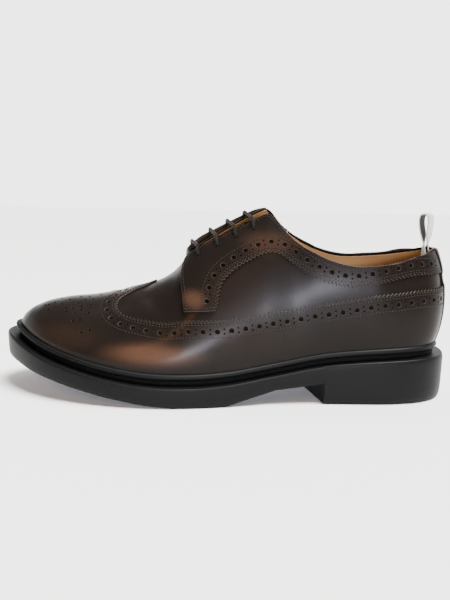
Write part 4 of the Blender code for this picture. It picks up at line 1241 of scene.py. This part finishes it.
def outsoleMesh():
    pairs = soleStations()
    line = np.arange(len(pairs))
    steps = np.array(sole["wall"])
    walls = []
    for column, side in enumerate(sides):
        t = pairs[:, column]
        edge, n = soleEdge(side, t), footNormal(side, t)
        top, bottom = soleTop(edge[:, 0]), soleBottom(side, footAt(side, t)[:, 0], line)
        flatPlace = edge[:, None] - n[:, None] * steps[None, :, :1]
        z = bottom[:, None] + (top - bottom)[:, None] * steps[None, :, 1]
        walls.append(np.concatenate([flatPlace, z[..., None]], -1))
    share = np.linspace(0, 1, sole["across"])[None, 1:-1, None]
    cover = walls[0][:, None, 0] * (1 - share) + walls[1][:, None, 0] * share
    cover[..., 2] = soleTop(cover[..., 0])
    tread = walls[0][:, None, -1] * (1 - share) + walls[1][:, None, -1] * share
    # one ring across: lateral wall down, underside, medial wall up, top
    rings = np.concatenate([walls[0], tread, walls[1][:, ::-1], cover[:, ::-1]], 1)
    faces = ringFaces(*rings.shape[:2])
    under = np.zeros(rings.shape[:2])
    under[:, len(steps):len(steps) + tread.shape[1]] = 1
    breast = sole["lines"][0][2]
    under[breast:breast + 2] = 0   # no tread on the heel's upright front
    return addMesh("outsole_rubber", toWorld(rings).reshape(-1, 3), faces, values=dict(tread=under.ravel()))


def closeMesh(piece, angle):
    # weld the ends and the seam, turn the faces outward
    choose(piece)
    bpy.ops.object.mode_set(mode="EDIT")
    bpy.ops.mesh.select_all(action="SELECT")
    bpy.ops.mesh.remove_doubles(threshold=0.00001)
    bpy.ops.mesh.normals_make_consistent(inside=False)
    bpy.ops.object.mode_set(mode="OBJECT")
    bpy.ops.object.shade_smooth_by_angle(angle=math.radians(angle))


outsole = outsoleMesh()
closeMesh(outsole, 25)
finishPiece(outsole, rubber, "sole_rubber", "outsole")

# Welt: rolled bead over a recessed groove, on the ledge round the foot of the upper.
welt = dict(
    shape=((0.3, 0.3), (-2.6, 0.3), (-2.3, 1.2), (-2.2, 2.6), (-1.9, 3.6), (-0.9, 4.3), (-0.25, 5.0),
           (0, 5.8), (-0.15, 6.6), (-0.6, 7.25), (-1.3, 7.7), (-2.2, 7.95),
           (0.1, 8.1)),   # out, up; out counts from the bead's edge, above zero it lies at the upper
    inner=0.3, stations=300)


def weltMesh():
    rings = []
    for side in sides:
        t = np.linspace(0, 1, welt["stations"])
        p, n = footAt(side, t), footNormal(side, t)
        wide = rowValue(last["edges"], 1, p[:, 0])
        shape = np.array(welt["shape"])
        out = np.where(shape[None, :, 0] > 0, welt["inner"], wide[:, None] + shape[None, :, 0])
        place = p[:, None] + n[:, None] * out[..., None]
        z = soleTop(place[..., 0]) + shape[None, :, 1]
        half = np.concatenate([place, z[..., None]], -1)
        rings.append(half if side == lateral else half[-2:0:-1])
    rings = toWorld(np.concatenate(rings))
    faces = ringFaces(*rings.shape[:2], joined=True)
    return addMesh("welt_rubber", rings.reshape(-1, 3), faces)


weltPiece = weltMesh()
closeMesh(weltPiece, 50)
finishPiece(weltPiece, rubber, "sole_rubber", "welt")


# Lace: one cord that climbs the facings in straight bars; its runs between the bars are inside.
lace = dict(radius=1.22, sides=14, over=0.3, inside=3.4, through=1.0, dive=0.9, press=0.15, bend=9, step=0.55,
            hidden=((3, (0, -2.2, -2)), (0, (-1.0, -2.2, 0))))   # eyelet, moved aside by


def lacePath():
    def lift(p):
        return float(facingTop(p[None])[0]) + lace["radius"] + lace["over"]

    def leg(side, number):
        # from inside up through an eyelet to the facing's edge, and where the bar starts there
        along = eyelets["places"][number][0 if side == lateral else 1]
        (p, edge), (n, en) = leatherFrame(side, np.stack(eyeletPlace(side, along)))
        rise = [p - n * lace["inside"], p - n * lace["through"], p + n * (lift(p) - lace["dive"]),
                (p + edge) / 2 + n * lift(p), edge + en * (lift(edge) - lace["press"])]
        return rise, edge + en * lift(edge)

    # hidden run from the top eyelet down to the lowest one
    points = [leg(lateral, number)[0][0] + np.array(aside) for number, aside in lace["hidden"]]
    side = lateral
    for number in range(len(eyelets["places"])):
        rise, a = leg(side, number)
        fall, b = leg(-side, number)
        points += [*rise, *[a + (b - a) * share for share in (0.3, 0.5, 0.7)], *fall[::-1]]
        side = -side
    rows = np.array(points)
    fine = lineThrough(rows, np.linspace(0, 1, len(rows) * 16))
    length = runLength(fine)
    path = between(np.arange(0, length[-1], lace["step"]), length, fine)
    soft = np.ones(lace["bend"]) / lace["bend"]
    return np.stack([np.convolve(path[:, k], soft, mode="valid") for k in range(3)], -1)


def laceMesh():
    path, size = lacePath(), lace["sides"]
    run = unit(np.gradient(path, axis=0))
    across = unit(np.cross(run, np.array([-1.0, 0, 0.05])))
    top = np.cross(across, run)
    angle = 2 * np.pi * np.arange(size) / size
    shape = np.stack([np.cos(angle), np.sin(angle)], -1) * lace["radius"]
    verts = path[:, None] + across[:, None] * shape[None, :, :1] + top[:, None] * shape[None, :, 1:]
    uv = np.stack(np.broadcast_arrays(np.arange(size)[None] / size, runLength(path)[:, None]), -1)
    faces = ringFaces(len(path), size) + endFaces(len(path), size)
    return addMesh("lace_cord", verts.reshape(-1, 3), faces, uv=uv.reshape(-1, 2))


finishPiece(laceMesh(), cordFinish, "lace_cord", "lace_bar_1", "lace_bar_2", "lace_bar_3", "lace_bar_4")

# Pull loop: plain ribbed tape, folded double and sewn in at the back of the collar.
loop = dict(
    rows=((16, 92), (16.1, 100), (16.8, 108), (18.4, 115.5), (18.8, 120.5), (17.8, 123.4), (15.6, 124.2),
          (13.4, 123.2), (12.6, 120), (12.8, 114), (13.4, 107), (14, 100), (14.2, 92)),   # along, height
    width=10.0, thick=1.0, bulge=0.15, turn=34.0, turnHeights=(96, 112), pivot=15.6, steps=90)


def loopMesh():
    rows = lineThrough(np.array(loop["rows"]), np.linspace(0, 1, loop["steps"]))
    path = np.stack([rows[:, 0], np.zeros(len(rows)), rows[:, 1]], -1)
    run = unit(np.gradient(path, axis=0))
    out = np.stack([run[:, 2], np.zeros(len(rows)), -run[:, 0]], -1)
    turn = np.radians(loop["turn"]) * softStep(*loop["turnHeights"], rows[:, 1])[:, None]
    half, thin = loop["width"] / 2, loop["thick"] / 2
    full = half + loop["bulge"]
    wide = np.array([-half, half, full, half, -half, -full])
    deep = np.array([-thin, -thin, 0, thin, thin, 0])
    flatPlace = path[:, None] + out[:, None] * deep[None, :, None]
    x, y = flatPlace[..., 0] - loop["pivot"], flatPlace[..., 1] + wide
    verts = np.stack([loop["pivot"] + x * np.cos(turn) - y * np.sin(turn),
                      x * np.sin(turn) + y * np.cos(turn), flatPlace[..., 2]], -1)
    uv = np.stack(np.broadcast_arrays(wide[None], runLength(path)[:, None]), -1)
    inner = np.broadcast_to(deep < 0, verts.shape[:2])
    count, size = verts.shape[:2]
    faces = ringFaces(count, size) + endFaces(count, size)
    return addMesh("pull_loop_tape", toWorld(verts).reshape(-1, 3), faces, values=dict(inner=inner.ravel()),
                   uv=uv.reshape(-1, 2))


loopPiece = loopMesh()
closeMesh(loopPiece, 50)
finishPiece(loopPiece, tape, "loop_tape", "pull_loop")

# Light, floor and camera.
studio = dict(camera=(0, -472, 143), aim=(0, 0, 62), roll=1.2, focal=690, pixels=600, floor=6.0)

bpy.ops.mesh.primitive_plane_add(size=studio["floor"], location=(0, 0, 0))
floor = bpy.context.object
floor.name = "studio_floor"
floorFinish, floorTree, floorShader = newMaterial("pale studio floor")
setInputs(floorTree, floorShader, {"Base Color": "#F2F1EF", "Roughness": 0.8})
floor.data.materials.append(floorFinish)

world = bpy.data.worlds.new("studio")
bpy.context.scene.world = world
world.use_nodes = True
sky = world.node_tree
coords = addNode(sky, "ShaderNodeTexCoord").outputs["Generated"]
axes = addNode(sky, "ShaderNodeSeparateXYZ", {0: coords}).outputs
# bright and low behind the shoe, dim above it and towards the camera, so that the leather stays dark
fade = ranged(sky, axes[1], 0.12, 3.85, -0.3, 0.8, interpolation_type="SMOOTHSTEP")
low = ranged(sky, axes[2], 1.0, 0.08, 0.26, 0.5, interpolation_type="SMOOTHSTEP")
setInputs(sky, sky.nodes["Background"], {"Strength": maths(sky, "MULTIPLY", fade, low), "Color": "#FFFFFF"})


def softbox(name, place, aim, size, power, tone="#FFFFFF"):
    bpy.ops.object.light_add(type="AREA", location=[v * 0.001 for v in place])
    lamp = bpy.context.object
    lamp.name = name
    lamp.data.shape = "RECTANGLE"
    lamp.data.size, lamp.data.size_y = size[0] * 0.001, size[1] * 0.001
    lamp.data.energy = power
    lamp.data.color = colour(tone)[:3]
    turn = (Vector(aim) - Vector(place)).to_track_quat("-Z", "Y")
    lamp.rotation_euler = turn.to_euler()


softbox("window", (150, -1250, 245), (65, -30, 75), (320, 110), 12.5, "#EEF0FF")
softbox("window_glow", (240, -1240, 245), (65, -30, 75), (700, 160), 6, "#EEF0FF")
softbox("warm_box", (-340, -980, 730), (-49, -45, 38), (260, 90), 2.4, "#FFB27A")
softbox("top_box", (0, 300, 1000), (0, 0, 40), (900, 300), 4)
bpy.ops.object.light_add(type="SUN", location=(0.5, -0.2, 1.5))
daylight = bpy.context.object
daylight.name = "even_daylight"
daylight.data.energy = 12.5
daylight.data.angle = math.radians(30)
daylight.rotation_euler = Vector((0.3, -0.17, 0.94)).to_track_quat("Z", "Y").to_euler()

bpy.ops.object.camera_add(location=[v * 0.001 for v in studio["camera"]])
camera = bpy.context.object
look = (Vector(studio["aim"]) - Vector(studio["camera"])).to_track_quat("-Z", "Y")
camera.rotation_mode = "QUATERNION"
camera.rotation_quaternion = look @ Quaternion((0, 0, 1), math.radians(studio["roll"]))
camera.data.sensor_fit = "VERTICAL"
camera.data.sensor_height = 36
camera.data.lens = camera.data.sensor_height * studio["focal"] / studio["pixels"]
bpy.context.scene.camera = camera
print("studio set")
